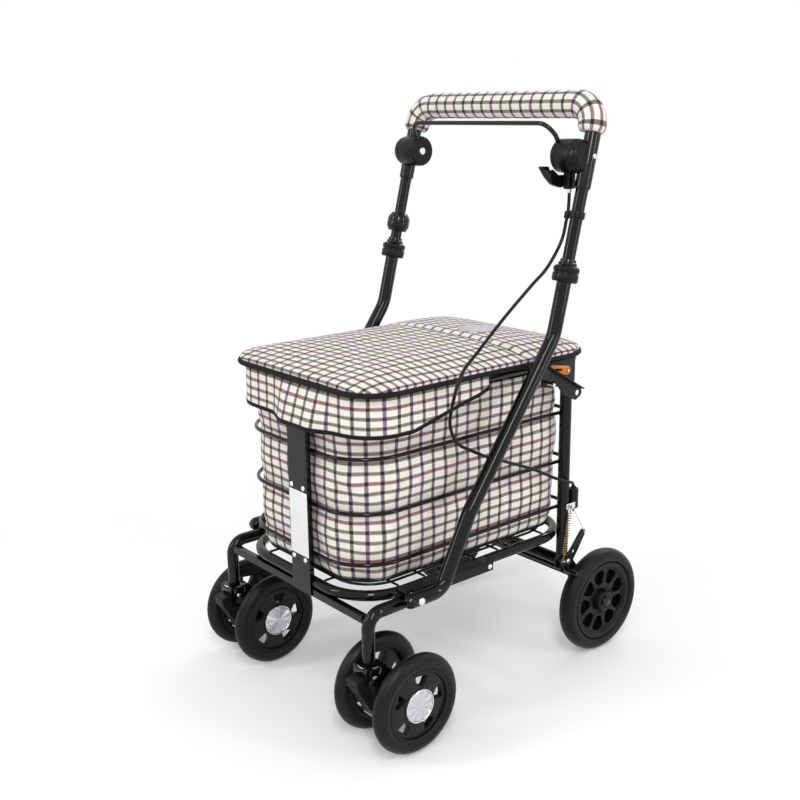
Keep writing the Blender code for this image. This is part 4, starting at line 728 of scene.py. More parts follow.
def slab_mesh(name, outline, depth, bevel, holes=()):
    """A flat piece with rounded edges about the plane of its outline."""
    curve = bpy.data.curves.new(name, "CURVE")
    curve.dimensions = "2D"
    curve.fill_mode = "BOTH"
    bevel = min(bevel, depth / 2 - 0.00002)
    curve.extrude = depth / 2 - bevel
    curve.bevel_depth = bevel
    curve.offset = -bevel
    curve.bevel_resolution = 2
    for loop in (outline, *holes):
        spline = curve.splines.new("POLY")
        spline.points.add(len(loop) - 1)
        for point, spot in zip(spline.points, loop):
            point.co = (spot[0], spot[1], 0, 1)
        spline.use_cyclic_u = True
    mesh = evaluated(linked(name, curve))
    bpy.data.curves.remove(curve)
    return mesh


X_PLATE = Matrix(((0, 0, 1, 0), (1, 0, 0, 0), (0, 1, 0, 0), (0, 0, 0, 1)))


def plate(name, outline, place, depth, bevel, finish, body, nodes=(), holes=()):
    """A flat piece set at its place."""
    mesh = slab_mesh(name, outline, depth, bevel, holes)
    mesh.transform(place)
    return placed(name, cleaned(mesh), finish, body, nodes, 30)


def at_x(x, y=0, z=0):
    """The place of a flat piece whose outline is given as (y, z) points."""
    return Matrix.Translation((x, y, z)) @ X_PLATE


def slab(name, outline, low, high, finish, body, nodes=(), holes=(), bevel=0.0005):
    """A plate between two X values, with its outline given as (y, z) points."""
    return plate(name, outline, at_x((low + high) / 2), abs(high - low), bevel, finish, body, nodes, holes)


def outlined(points, radii, step=10):
    """A closed (y, z) outline with rounded corners."""
    return [(p.x, p.y) for p in rounded([(y, z, 0) for y, z in points], radii, step)]


def circle(y, z, radius, count=32):
    return [(y + radius * math.cos(a), z + radius * math.sin(a)) for a in turns(count, 0.5)]


def link_outline(first, second, r1, r2, count=16):
    """The (y, z) outline round two circles and the straight sides between them."""
    a, b = Vector(first), Vector(second)
    heading = math.atan2(b.y - a.y, b.x - a.x)
    lean = math.acos(max(-1, min(1, (r1 - r2) / (b - a).length)))
    points = []
    for centre, radius, start, span in (
        (b, r2, heading - lean, 2 * lean), (a, r1, heading + lean, 2 * math.pi - 2 * lean)
    ):
        for k in range(count + 1):
            angle = start + span * k / count
            points.append((centre.x + radius * math.cos(angle), centre.y + radius * math.sin(angle)))
    return points


def box_piece(name, first, second, bevel, finish, body):
    """A block with rounded edges between two opposite corners."""
    low, high = Vector(tuple(map(min, first, second))), Vector(tuple(map(max, first, second)))
    bm = bmesh.new()
    size = Matrix.Diagonal((*(high - low), 1))
    bmesh.ops.create_cube(bm, size=1, matrix=Matrix.Translation((low + high) / 2) @ size)
    bmesh.ops.bevel(
        bm, geom=bm.edges[:], offset=bevel, segments=3, profile=0.5, affect="EDGES", clamp_overlap=True
    )
    mesh = bpy.data.meshes.new(name)
    bm.to_mesh(mesh)
    bm.free()
    return placed(name, mesh, finish, body, sharp=45)


def dressed(node, finish, body, bevel=0.0005, segments=2):
    """A copy of a CAD node's mesh, cleaned and with its edges rounded."""
    source = frame["nodes"][node]
    mesh = source.data.copy()
    mesh.transform(source.matrix_world)
    bm = bmesh.new()
    bm.from_mesh(mesh)
    bmesh.ops.remove_doubles(bm, verts=bm.verts, dist=2e-6)
    bmesh.ops.dissolve_limit(bm, angle_limit=math.radians(1.0), verts=bm.verts, edges=bm.edges)
    bmesh.ops.recalc_face_normals(bm, faces=bm.faces)
    bm.to_mesh(mesh)
    bm.free()
    mesh.name = node + "_look"
    piece = placed(node + "_look", mesh, finish, body, [node], 32)
    soften = piece.modifiers.new("Edges", "BEVEL")
    soften.width = bevel
    soften.segments = segments
    soften.limit_method = "ANGLE"
    soften.angle_limit = math.radians(32)
    soften.harden_normals = True
    return piece


def flat_ring(half, front, rear, front_r, rear_r, z, step=5):
    """A level path round the basket with rounded corners."""
    corners = [(-half, front, z), (half, front, z), (half, rear, z), (-half, rear, z)]
    return rounded(corners, [front_r, front_r, rear_r, rear_r], step)


def on_handle(distance, x=HANDLE_X):
    """The point at this distance up the handle tube from the clamp's middle."""
    y = CLAMP_Y + distance * math.sin(HANDLE_LEAN)
    return Vector((x, y, CLAMP_Z + distance * math.cos(HANDLE_LEAN)))


def along_handle(distance, x=HANDLE_X):
    """The place of a turned piece that sits round the handle tube."""
    lean = Matrix.Rotation(-HANDLE_LEAN, 4, "X")
    return Matrix.Translation(on_handle(distance, x)) @ lean


SIDES = (("left", 1), ("right", -1))

# Finish and body of what repeats
BASKET = ("frame_paint", "basket_frame")
BASKET_METAL = ("bright_metal", "basket_frame")
HANDLE = ("frame_paint", "handle_frame")
HANDLE_METAL = ("bright_metal", "handle_frame")
UPPER_METAL = ("bright_metal", "handle_upper")
SHOE = ("frame_paint", "brake_shoe")


# Basket frame
def ring_bar(name, node, half, front, rear, corners, z, diameter, sides=24, spacing=0.008):
    """A closed rod round the basket. corners are its radii at the front and the rear."""
    path = spaced(flat_ring(half, front, rear, *corners, z), spacing, True)
    bar(name, path, diameter, *BASKET, [node], sides, True)


def base_ring():
    ring_bar("ring_tube", "base_ring", RING_HALF, RING_FRONT, RING_REAR, (0.080, 0.077), RING_Z, RING_D)


def hoops():
    weld_end = UPRIGHT_X - UPRIGHT_D / 2 + 0.002
    for title, z in zip(("upper", "middle", "lower"), HOOP_Z):
        node = "hoop_" + title
        ring_bar(node + "_rod", node, HOOP_HALF, HOOP_FRONT, HOOP_REAR, (0.075, 0.024), z, HOOP_D, 16)
        for side, sign in SIDES:
            ends = along_x(sign, HOOP_HALF + 0.001, weld_end, (UPRIGHT_Y, z))
            pin(f"hoop_weld_{title}_{side}", *ends, 0.009, *BASKET, edge=0.002)


def seat_frame():
    ring_bar("seat_tube", "seat_frame", SEAT_HALF, SEAT_FRONT, SEAT_REAR, (0.060, 0.030), SEAT_Z, SEAT_D)
    hinge = (LID_HINGE_Y, LID_HINGE_Z)
    eye = link_outline((SEAT_REAR, SEAT_Z), hinge, 0.004, 0.004)
    for side, sign in SIDES:
        x = sign * HINGE_X
        slab("hinge_lug_" + side, eye, x - 0.002, x + 0.002, *BASKET)
        pin("hinge_pin_" + side, *along_x(1, x - 0.009, x + 0.009, hinge), 0.004, *BASKET_METAL)


GRID_CROSS_Y = (-0.196, -0.146, -0.096, -0.046, 0.004, 0.054, 0.104)
GRID_LONG_X = (-0.072, 0, 0.072)


def floor_grid():
    """The wire floor: a rim wire and crossing wires whose ends run to the base ring."""
    z = RING_Z + RING_D / 2 + GAP + GRID_WIRE_D / 2
    ring_bar("grid_rim", "floor_grid", 0.139, -0.2475, 0.150, (0.060, 0.060), z, GRID_WIRE_D, 12, 0.007)
    crossing = [((-RING_HALF, y, z), (RING_HALF, y, z)) for y in GRID_CROSS_Y]
    lengthwise = [((x, RING_FRONT, z), (x, RING_REAR, z)) for x in GRID_LONG_X]
    for title, wires in (("cross", crossing), ("long", lengthwise)):
        for count, ends in enumerate(wires):
            bar(f"grid_{title}_{count}", ends, GRID_WIRE_D * 0.9, *BASKET, sides=12, dish=0.001)


def front_legs():
    reach = RAIL_W / 2 - RAIL_WALL
    for side, sign in SIDES:
        x = sign * LEG_X
        corners = [(x, LEG_Y, LEG_BOTTOM), (x, LEG_Y, LEG_RUN_Z), (x, LEG_REAR, LEG_RUN_Z)]
        path = rounded(corners, [0, LEG_BEND_R, 0], 5)
        bar("leg_tube_" + side, path, LEG_D, *BASKET, ["front_leg_" + side], 24, dish=0.0012)
        near = (sign * (RAIL_X - reach + 2 * GAP), LEG_REAR - 0.008, RAIL_LOW + 0.0022)
        far = (sign * (RAIL_X + reach - 0.0044), PIVOT_Y + 0.018, RAIL_TOP - 0.0024)
        box_piece("leg_tongue_" + side, near, far, 0.0008, *BASKET)


def front_bar():
    dressed("front_cross_bar", *BASKET, 0.0012, 3)
    dressed("front_channel", *BASKET, 0.0006, 3)
    heads = [(CHANNEL_X + aside, z) for z in (0.360, 0.2485) for aside in (-0.016, 0.013)]
    for count, (x, z) in enumerate(heads):
        ends = (x, CHANNEL_FRONT - 0.0001, z), (x, CHANNEL_FRONT - 0.0024, z)
        rivet(f"channel_rivet_{count}", *ends, 0.0078, *BASKET_METAL)
    half = CHANNEL_W / 2 - 0.0012
    low = (CHANNEL_X - half, CHANNEL_FRONT - 0.0008, 0.2545)
    high = (CHANNEL_X + half, CHANNEL_FRONT + 0.0002, 0.3535)
    box_piece("label_plate", low, high, 0.0003, "label_white", "basket_frame")


LATCH_PLATE = ((0.152, 0.470), (0.152, 0.5108), (0.079, 0.5100), (0.077, 0.474), (0.100, 0.470))
LATCH_PLATE_X = (0.1712, 0.1742)
LATCH_PIN_X = 0.172


def rear_uprights():
    top = SEAT_Z - SEAT_D / 2 - GAP
    near, far = LATCH_PLATE_X
    for side, sign in SIDES:
        path = [(sign * UPRIGHT_X, UPRIGHT_Y, z) for z in stepped(UPRIGHT_LOW, top, 12)]
        bar("upright_tube_" + side, path, UPRIGHT_D, *BASKET, ["rear_upright_" + side], 24, dish=0.001)
        slab("latch_plate_" + side, outlined(LATCH_PLATE, 0.005), sign * near, sign * far, *BASKET)
        for title, spot, end, diameter in (
            ("latch", (LATCH_Y, LATCH_Z), LEVER_OUT + 0.0012, 0.006),
            ("catch", (CATCH_Y, CATCH_Z), 0.1862, 0.004),
        ):
            pin(f"{title}_pin_{side}", *along_x(sign, LATCH_PIN_X, end, spot), diameter, *BASKET_METAL)


def rear_subframe():
    """The cross tube, the thin tie rod and the two plates that carry the axles."""
    half = PLATE_OUT - 0.0005
    path = [(x, UPRIGHT_Y, CROSS_Z) for x in stepped(-half, half, 16)]
    bar("cross_tube", path, CROSS_D, *BASKET, ["rear_subframe"], 24, dish=0.001)
    bar("tie_rod", along_x(1, -half, half, (0.176, 0.132)), 0.006, *BASKET, sides=16)
    strip = [
        (UPRIGHT_Y - 0.0115, CROSS_Z - 0.0080), (UPRIGHT_Y - 0.0115, CROSS_Z + 0.0115),
        (UPRIGHT_Y + 0.0125, CROSS_Z + 0.0115), (BRAKE_Y + 0.0115, BRAKE_Z + 0.0060),
        (REAR_Y + 0.0125, REAR_R + 0.0080), (REAR_Y + 0.0080, REAR_R - 0.0125),
        (REAR_Y - 0.0125, REAR_R - 0.0070), (BRAKE_Y - 0.0040, BRAKE_Z - 0.0110),
        (BRAKE_Y - 0.0075, BRAKE_Z - 0.0050),
    ]
    shape = outlined(strip, [0.004, 0.004, 0.004, 0.006, 0.010, 0.010, 0.010, 0.004, 0.002])
    hole = circle(REAR_Y, REAR_R, 0.0045)
    brake = (BRAKE_Y, BRAKE_Z)
    start = PLATE_OUT - 0.001
    for side, sign in SIDES:
        slab("axle_plate_" + side, shape, sign * PLATE_IN, sign * PLATE_OUT, *BASKET, holes=[hole])
        pin("brake_spacer_" + side, *along_x(sign, start, ARM_IN - 0.0004, brake), 0.010, *BASKET)
        pin("brake_pin_" + side, *along_x(sign, start, ARM_OUT + 0.0008, brake), 0.005, *BASKET_METAL)
        rivet("brake_head_" + side, *along_x(sign, ARM_OUT + 0.0005, 0.1688, brake), 0.009, *BASKET_METAL)


def lower_rails():
    outer = RAIL_X + RAIL_W / 2
    tube_in, tube_out = HANDLE_X - SIDE_TUBE_D / 2, HANDLE_X + SIDE_TUBE_D / 2
    pivot = (PIVOT_Y, PIVOT_Z)
    for side, sign in SIDES:
        dressed("lower_rail_" + side, "rail_paint", "basket_frame")
        ends = along_x(sign, outer + 0.0002, outer + 0.0024, (RAIL_REAR - 0.007, PIVOT_Z))
        rivet("rail_rivet_" + side, *ends, 0.0085, *BASKET_METAL)
        ends = along_x(sign, outer - 0.0045, tube_out + 0.0008, pivot)
        pin("pivot_pin_" + side, *ends, 0.006, *BASKET_METAL, ["pivot_rivet_" + side])
        pin("pivot_washer_" + side, *along_x(sign, outer + GAP, tube_in - GAP, pivot), 0.013, *BASKET_METAL)
        ends = along_x(sign, tube_out + GAP, tube_out + 0.0030, pivot)
        rivet("pivot_head_" + side, *ends, 0.0115, *BASKET_METAL)


def rear_axles():
    axle = (REAR_Y, REAR_R)
    nut_r = 0.0075
    corners = [(REAR_Y + nut_r * math.cos(a), REAR_R + nut_r * math.sin(a)) for a in turns(6)]
    nut = outlined(corners, 0.0006)
    cap = [(0, 0), (0.0085, 0), (0.0085, 0.0010), (0.0070, 0.0030), (0.0020, 0.0036), (0, 0.0036)]
    for side, sign in SIDES:
        ends = along_x(sign, PLATE_IN - 0.003, REAR_X + 0.0195, axle)
        pin("axle_shaft_" + side, *ends, 0.008, *BASKET_METAL, ["rear_axle_" + side])
        slab("axle_nut_" + side, nut, sign * (PLATE_IN - 0.0050), sign * (PLATE_IN - GAP), *BASKET_METAL)
        place = facing_x(sign * (REAR_X + 0.0178), *axle, sign)
        lathe("axle_cap_" + side, cap, "gloss_plastic", "basket_frame", place, steps=48)


TAB_X = (0.1733, 0.1753)
PEG_X = (0.1745, 0.1822)
PEG_D = 0.0028


def cable_stop():
    """The ribbed barrel that ends the cable's jacket, its adjuster and the spring's tab."""
    y = UPRIGHT_Y + UPRIGHT_D / 2 + GAP
    barrel = [(0, 0.0), (0.0078, 0.0), (0.0086, 0.0012), (0.0086, 0.0318), (0.0078, 0.033), (0, 0.033)]

    def ribs(angle, radius):
        return radius * (1 - 0.035 * (0.5 + 0.5 * math.cos(14 * angle))) if radius > 0.008 else radius

    place = Matrix.Translation((0.1675, y + 0.0088, 0.258))
    lathe("stop_barrel", barrel, "black_plastic", "basket_frame", place, ["cable_stop"], 112, ribs=ribs)
    corners = (0.1605, y + 0.0002, 0.262), (0.1745, y + 0.009, 0.287)
    box_piece("stop_foot", *corners, 0.0012, "black_plastic", "basket_frame")
    screw = [(0.0015, 0), (0.0035, 0), (0.0035, 0.003), (0.0028, 0.0034), (0.0028, 0.0100), (0.0015, 0.0100)]
    place = along((0.1665, 0.1689, 0.2505), (0.1665, 0.1655, 0.261))
    lathe("stop_adjuster", screw, *BASKET_METAL, place, steps=24, soft=0.0003)
    cap = [(0.0026, 0), (0.0045, 0), (0.0040, 0.0065), (0.0026, 0.0075)]
    place = along((0.170, 0.1630, 0.2885), (0.1706, 0.1602, 0.2950))
    lathe("stop_entry", cap, "black_plastic", "basket_frame", place, steps=32, soft=0.0004)
    tab = outlined([(0.1405, 0.2600), (0.1405, 0.2700), (y + 0.012, 0.2700), (y + 0.012, 0.2600)], 0.003)
    slab("spring_tab", tab, *TAB_X, *BASKET_METAL)
    pin("spring_peg", *along_x(1, *PEG_X, SPRING_TOP), PEG_D, *BASKET_METAL)


# Handle frame
def side_tubes():
    toe = [(0, 0), (0.0110, 0), (0.0104, 0.0028), (0.0084, 0.0066), (0.0060, TOE_LONG), (0, TOE_LONG)]
    boss = link_outline((0.040, 0.512), (LEVER_Y, LEVER_Z), 0.013, 0.009)
    lever = (LEVER_Y, LEVER_Z)
    foot_y, foot_z = FOOT_END[0] + 0.0008, FOOT_END[1]
    for side, sign in SIDES:
        x = sign * HANDLE_X
        corners = [(x, *bend) for bend in (FOOT_END, HEEL_BEND, FOOT_BEND, KNEE)]
        path = rounded([*corners, on_handle(0.0118, x)], [0, 0.030, 0.080, 0.070, 0], 3)
        bar("side_tube_body_" + side, path, SIDE_TUBE_D, *HANDLE, ["side_tube_" + side], 28, dish=0.0015)
        place = along((x, foot_y, foot_z), (x, foot_y - TOE_LONG, foot_z - 0.001))
        lathe("side_toe_" + side, toe, *HANDLE, place, steps=48, soft=0.0008)
        near, far = sign * (LEVER_OUT + 0.0012), sign * (LEVER_OUT + 0.0045)
        slab("lever_boss_" + side, boss, near, far, *HANDLE, bevel=0.001)
        ends = along_x(sign, LEVER_IN - 0.0012, LEVER_OUT + 0.003, lever)
        pin("lever_pin_" + side, *ends, 0.005, *HANDLE_METAL)
        ends = along_x(sign, LEVER_IN - 0.0006, LEVER_IN - 0.0028, lever)
        rivet("lever_head_" + side, *ends, 0.0095, *HANDLE_METAL)


def collars():
    half = COLLAR_H / 2
    outer, bore = COLLAR_D / 2, SIDE_TUBE_D / 2 + 0.0002
    collar = [
        (bore, half), (outer - 0.003, half), (outer, half - 0.003), (outer, 0.004), (outer - 0.0012, 0.003),
        (outer - 0.0012, 0.001), (outer, 0.0), (outer, 0.003 - half), (outer - 0.0015, -half), (bore, -half),
    ]
    bush_r, inner = BUSH_D / 2, LOOP_TUBE_D / 2 + 0.0002
    bush = [
        (inner, BUSH_H), (bush_r - 0.001, BUSH_H), (bush_r - 0.001, BUSH_H * 0.55),
        (bush_r + 0.0012, BUSH_H * 0.40), (bush_r + 0.0012, 0), (inner, 0),
    ]

    def ribs(angle, radius):
        rib = max(0.0, math.cos(16 * angle)) ** 4
        return radius - 0.0007 * rib if radius > outer - 0.001 else radius

    for side, sign in SIDES:
        x = sign * HANDLE_X
        body = "clamp_collar_" + side
        place = along_handle(0, x)
        lathe("collar_ring_" + side, collar, "black_plastic", body, place, [body], 128, ribs=ribs)
        place = along_handle(half + 2 * GAP, x)
        lathe("bush_ring_" + side, bush, "gloss_plastic", "handle_frame", place, ["tube_bush_" + side])


def fold_levers():
    lever = [
        (0.0540, 0.4935), (0.0560, 0.5110), (0.0680, 0.5130), (0.1490, 0.4650), (0.1500, 0.4540),
        (0.1360, 0.4470), (0.1120, 0.4590), (0.1065, 0.4630), (0.0875, 0.4850), (0.0830, 0.4850),
        (0.0700, 0.4890),
    ]
    shape = outlined(lever, [0.006, 0.005, 0.004, 0.004, 0.006, 0.006, 0.003, 0.002, 0.0015, 0.002, 0.004])
    holes = [circle(LEVER_Y, LEVER_Z, 0.003), circle(0.1405, 0.4585, 0.0045)]
    flange = [(0.0700, 0.5120), (0.1480, 0.4658), (0.1471, 0.4642), (0.0691, 0.5104)]
    for side, sign in SIDES:
        look = ("lever_metal", "fold_lever_" + side)
        near, far = sign * LEVER_IN, sign * LEVER_OUT
        slab("lever_blade_" + side, shape, near, far, *look, ["fold_lever_" + side], holes, 0.0004)
        near, far = sign * (LEVER_IN + 0.0005), sign * (LEVER_OUT + 0.008)
        slab("lever_lip_" + side, flange, near, far, *look, bevel=0.0003)


def safety_catches():
    shape = link_outline((0.0925, 0.5010), (CATCH_Y, CATCH_Z), 0.0072, 0.0072, 24)
    slot_hole = link_outline((0.0975, 0.5001), (0.1105, 0.4978), 0.0018, 0.0018, 12)
    holes = [circle(CATCH_Y, CATCH_Z, 0.0024), slot_hole]
    for side, sign in SIDES:
        body = "safety_catch_" + side
        ends = sign * 0.1762, sign * 0.1845
        slab("catch_body_" + side, shape, *ends, "orange_plastic", body, [body], holes, 0.0018)


# Upper handle
def loop_path(low, x=HANDLE_X, step=5):
    ends = [on_handle(low, -x), on_handle(LOOP_TOP, -x), on_handle(LOOP_TOP, x), on_handle(low, x)]
    return rounded(ends, [0, HANDLE_CORNER_R, HANDLE_CORNER_R, 0], step)


def handle_loop():
    path = spaced(loop_path(-LOOP_BOTTOM), 0.006)
    bar("loop_tube", path, LOOP_TUBE_D, "frame_paint", "handle_upper", ["handle_loop"], 24, dish=0.001)


COLLAR_BORE_R = 0.0098


def loop_collars():
    """The stop collar on the right tube, and the clip with its eye that holds the cable on the left."""
    stop = [
        (COLLAR_BORE_R, 0.0155), (0.0140, 0.0155), (0.0185, 0.0080), (0.0195, 0.0025), (0.0185, 0.0012),
        (0.0195, -0.0005), (0.0190, -0.0080), (0.0150, -0.0155), (COLLAR_BORE_R, -0.0155),
    ]
    place = along_handle(0.049, -HANDLE_X)
    lathe("stop_ring", stop, "gloss_plastic", "handle_upper", place, ["stop_collar"], 64, 0.0009)
    ring = sleeve(COLLAR_BORE_R, 0.01175, -0.005, 0.005)
    lathe("clip_ring", ring, "black_plastic", "handle_upper", along_handle(0.0871), ["cable_clip"], 48)
    eye_at = Vector((0.185, 0.112, 0.733))
    reach = (on_handle(0.0921) - on_handle(0.0821)) / 2
    eye = sleeve(CABLE_D / 2 + 0.0003, 0.00475, 0, 0.010)
    lathe("clip_eye", eye, "black_plastic", "handle_upper", along(eye_at - reach, eye_at + reach), steps=32)


def hubs():
    """The round hub on each side, its sleeve round the tube and the stud that carries the bail."""
    drum = [
        (0, HUB_OUT - 0.0010), (0.0060, HUB_OUT - 0.0010), (0.0068, HUB_OUT), (HUB_R - 0.007, HUB_OUT),
        (HUB_R - 0.0025, HUB_OUT - 0.004), (HUB_R - 0.0006, HUB_OUT - 0.012),
        (HUB_R - 0.0016, HUB_OUT - 0.0130), (HUB_R - 0.0016, HUB_OUT - 0.0145), (HUB_R, HUB_OUT - 0.0155),
        (HUB_R, HUB_IN + 0.001), (HUB_R - 0.001, HUB_IN), (0, HUB_IN),
    ]
    hub, park = (HUB_Y, HUB_Z), (PARK_Y, PARK_Z)
    screw = (on_handle((HUB_Z - CLAMP_Z) / math.cos(HANDLE_LEAN)).y, HUB_Z)
    outer, bore = SOCKET_D / 2, LOOP_TUBE_D / 2 + 0.0002
    screw_x = HANDLE_X + outer
    long = PAD_END - SOCKET_LOW - GAP
    socket = [
        (bore, 0), (outer - 0.0012, 0), (outer, 0.0022), (outer, long - 0.001), (outer - 0.001, long),
        (bore, long),
    ]
    for side, sign in SIDES:
        node = "hub_" + side
        lathe("hub_drum_" + side, drum, "black_plastic", "handle_upper", facing_x(0, *hub, sign), [node], 96)
        place = along_handle(SOCKET_LOW, sign * HANDLE_X)
        lathe("hub_sleeve_" + side, socket, "gloss_plastic", "handle_upper", place)
        ends = along_x(sign, HUB_IN + 0.001, BAIL_IN - 0.0006, hub)
        pin("hub_stud_" + side, *ends, 0.008, *UPPER_METAL)
        ends = along_x(sign, BAIL_IN - 0.0001, BAIL_IN - 0.0026, hub)
        rivet("hub_head_" + side, *ends, 0.0125, *UPPER_METAL)
        ends = along_x(sign, screw_x - 0.0002, screw_x + 0.0014, screw)
        rivet("hub_screw_" + side, *ends, 0.0075, *UPPER_METAL)
    corners = (0.1712, 0.1155, 0.7695), (0.1826, 0.1315, 0.803)
    box_piece("hub_housing", *corners, 0.002, "black_plastic", "handle_upper")
    pin("park_pin", *along_x(1, 0.172, 0.1614, park), 0.004, *UPPER_METAL)
    rivet("park_head", *along_x(1, 0.1624, 0.1604, park), 0.008, *UPPER_METAL)
    x, y, z = FERRULE
    tip = sleeve(CABLE_D / 2 + 0.0002, 0.0039, 0, 0.008)
    lathe("ferrule", tip, *UPPER_METAL, along((x, y, z - 0.006), (x, y, z + 0.002)), steps=32)


def brake_bail():
    corners = [(BAIL_IN + 0.0041, 0.121, 0.829), (BAIL_IN + 0.0033, 0.1115, 0.847), (0.148, 0.100, 0.8640)]
    corners += [(-x, y, z) for x, y, z in reversed(corners)]
    path = spaced(rounded(corners, [0, 0.018, 0.022, 0.022, 0.018, 0]), 0.004)
    bar("bail_rod", path, BAIL_D, "gloss_plastic", "brake_bail", ["brake_bail"], 20, dish=0.002)
    disc = [(0.0045, 0), (BAIL_R, 0), (BAIL_R, 0.0055), (BAIL_R - 0.002, 0.0082), (0.0045, 0.0082)]
    for side, sign in SIDES:
        place = facing_x(sign * (HUB_IN - GAP), HUB_Y, HUB_Z, -sign)
        lathe("bail_disc_" + side, disc, "black_plastic", "brake_bail", place, steps=96, soft=0.0008)


def parking_lever():
    lever = [
        (0.0690, 0.8040), (0.0860, 0.8035), (0.0890, 0.7965), (0.0965, 0.7985), (0.1080, 0.7900),
        (0.1220, 0.7900), (0.1290, 0.7830), (0.1270, 0.7755), (0.1130, 0.7710), (0.0960, 0.7760),
        (0.0830, 0.7870),
    ]
    shape = outlined(lever, [0.0015, 0.002, 0.002, 0.003, 0.006, 0.003, 0.004, 0.004, 0.012, 0.014, 0.014])
    body = "parking_lever"
    hole = circle(PARK_Y, PARK_Z, 0.0024)
    slab("parking_crescent", shape, 0.1627, 0.1707, "gloss_plastic", body, [body], [hole], 0.0016)


# Brake shoe, spring, wire and cable
def brake_shoe():
    """The bar across both wheels, its link on the right, and the arm and the spring's lug on the left."""
    reach = REAR_X + 0.011
    shoe, brake = (SHOE_Y, SHOE_Z), (BRAKE_Y, BRAKE_Z)
    path = [(x, *shoe) for x in stepped(-reach, reach, 12)]
    bar("shoe_rod", path, SHOE_D, *SHOE, ["brake_bar"], 20, dish=0.001)
    hole = circle(*brake, 0.0029)
    right = link_outline(shoe, brake, 0.0062, 0.0055)
    slab("shoe_link", right, -ARM_OUT, -ARM_IN, *SHOE, holes=[hole])
    slab("shoe_lug", link_outline(shoe, SPRING_LOW, 0.0045, 0.0035), *TAB_X, *SHOE)
    pin("shoe_peg", *along_x(1, *PEG_X, SPRING_LOW), PEG_D, "bright_metal", "brake_shoe")
    arm = [
        (ARM_TOP[0] - 0.0060, ARM_TOP[1] + 0.0075), (ARM_TOP[0] + 0.0065, ARM_TOP[1] + 0.0035),
        (ARM_MID[0] + 0.0085, ARM_MID[1] - 0.0030), (BRAKE_Y + 0.0080, BRAKE_Z - 0.0060),
        (SHOE_Y + 0.0040, SHOE_Z - 0.0085), (SHOE_Y - 0.0080, SHOE_Z - 0.0040),
        (SHOE_Y - 0.0060, SHOE_Z + 0.0070), (ARM_MID[0] - 0.0080, ARM_MID[1] + 0.0050),
    ]
    shape = outlined(arm, [0.005, 0.005, 0.010, 0.006, 0.006, 0.006, 0.006, 0.010])
    holes = [circle(*ARM_TOP, 0.0024), circle(*ARM_MID, 0.003), hole]
    slab("arm_blade", shape, ARM_IN, ARM_OUT, "lever_metal", "brake_shoe", ["brake_arm"], holes, 0.0006)


def smooth_path(points, per_span):
    """A centripetal curve through all the points."""
    points = [Vector(point) for point in points]
    ends = [2 * points[0] - points[1], *points, 2 * points[-1] - points[-2]]
    path = []
    for index in range(1, len(ends) - 2):
        p0, p1, p2, p3 = ends[index - 1 : index + 3]
        t1 = (p1 - p0).length ** 0.5
        t2 = t1 + (p2 - p1).length ** 0.5
        t3 = t2 + (p3 - p2).length ** 0.5
        for count in range(per_span):
            t = t1 + (t2 - t1) * count / per_span
            a1 = p0 * ((t1 - t) / t1) + p1 * (t / t1)
            a2 = p1 * ((t2 - t) / (t2 - t1)) + p2 * ((t - t1) / (t2 - t1))
            a3 = p2 * ((t3 - t) / (t3 - t2)) + p3 * ((t - t2) / (t3 - t2))
            b1 = a1 * ((t2 - t) / t2) + a2 * (t / t2)
            b2 = a2 * ((t3 - t) / (t3 - t1)) + a3 * ((t - t1) / (t3 - t1))
            path.append(b1 * ((t2 - t) / (t2 - t1)) + b2 * ((t - t1) / (t2 - t1)))
    path.append(points[-1])
    return path


CABLE_CORNERS = [
    (0.177, 0.124, 0.767), (0.177, 0.124, 0.762), (0.185, 0.1136, 0.7393), (0.185, 0.1104, 0.7267),
    (0.1848, 0.1015, 0.697), (0.1848, 0.0705, 0.6584), (0.1848, 0.0396, 0.6367), (0.1855, -0.0176, 0.5955),
    (0.191, -0.0711, 0.5579), (0.196, -0.1103, 0.529), (0.196, -0.1290, 0.4825), (0.191, -0.1270, 0.457),
    (0.186, -0.1094, 0.4276), (0.182, -0.0801, 0.410), (0.178, -0.0419, 0.3902), (0.174, -0.0044, 0.3748),
    (0.174, 0.0658, 0.3448), (0.176, 0.1029, 0.3254), (0.1785, 0.1270, 0.3140), (0.1775, 0.1430, 0.3080),
    (0.1738, 0.1535, 0.3040), (0.1711, 0.1582, 0.3003), (0.1706, 0.1602, 0.2953),
]
CABLE_JOIN = 10


CABLE_STEPS = 8


def brake_cable():
    """The cable in two lengths that meet at the front of its loop."""
    path = smooth_path(CABLE_CORNERS, CABLE_STEPS)
    join = CABLE_JOIN * CABLE_STEPS
    for title, points, above, below, first, last in (
        ("cable_upper", path[: join + 1], "handle_upper", "handle_frame", 28, -6),
        ("cable_lower", path[join:], "handle_frame", "basket_frame", 6, -12),
    ):
        mesh = bar_mesh(title, points, [CABLE_D / 2] * len(points), 16)
        piece = placed(title, mesh, "cable_jacket", None, ["brake_cable"])
        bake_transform(piece)


def brake_wire():
    x = ARM_OUT + 0.0014
    path = [(0.1666, 0.1672, 0.258), (0.1667, 0.1690, 0.2530), (0.1668, 0.1705, 0.2485), (x, *ARM_TOP)]
    bar("wire_strand", path, WIRE_D, *BASKET_METAL, ["brake_wire"], 10)
    ends = along_x(1, ARM_IN - 0.0008, x + 0.0006, ARM_TOP)
    pin("wire_nipple", *ends, 0.0038, "bright_metal", "brake_shoe")


SPRING_STEPS = 20
SPRING_COIL_IN = 0.0105
SPRING_NECK_IN = 0.0062


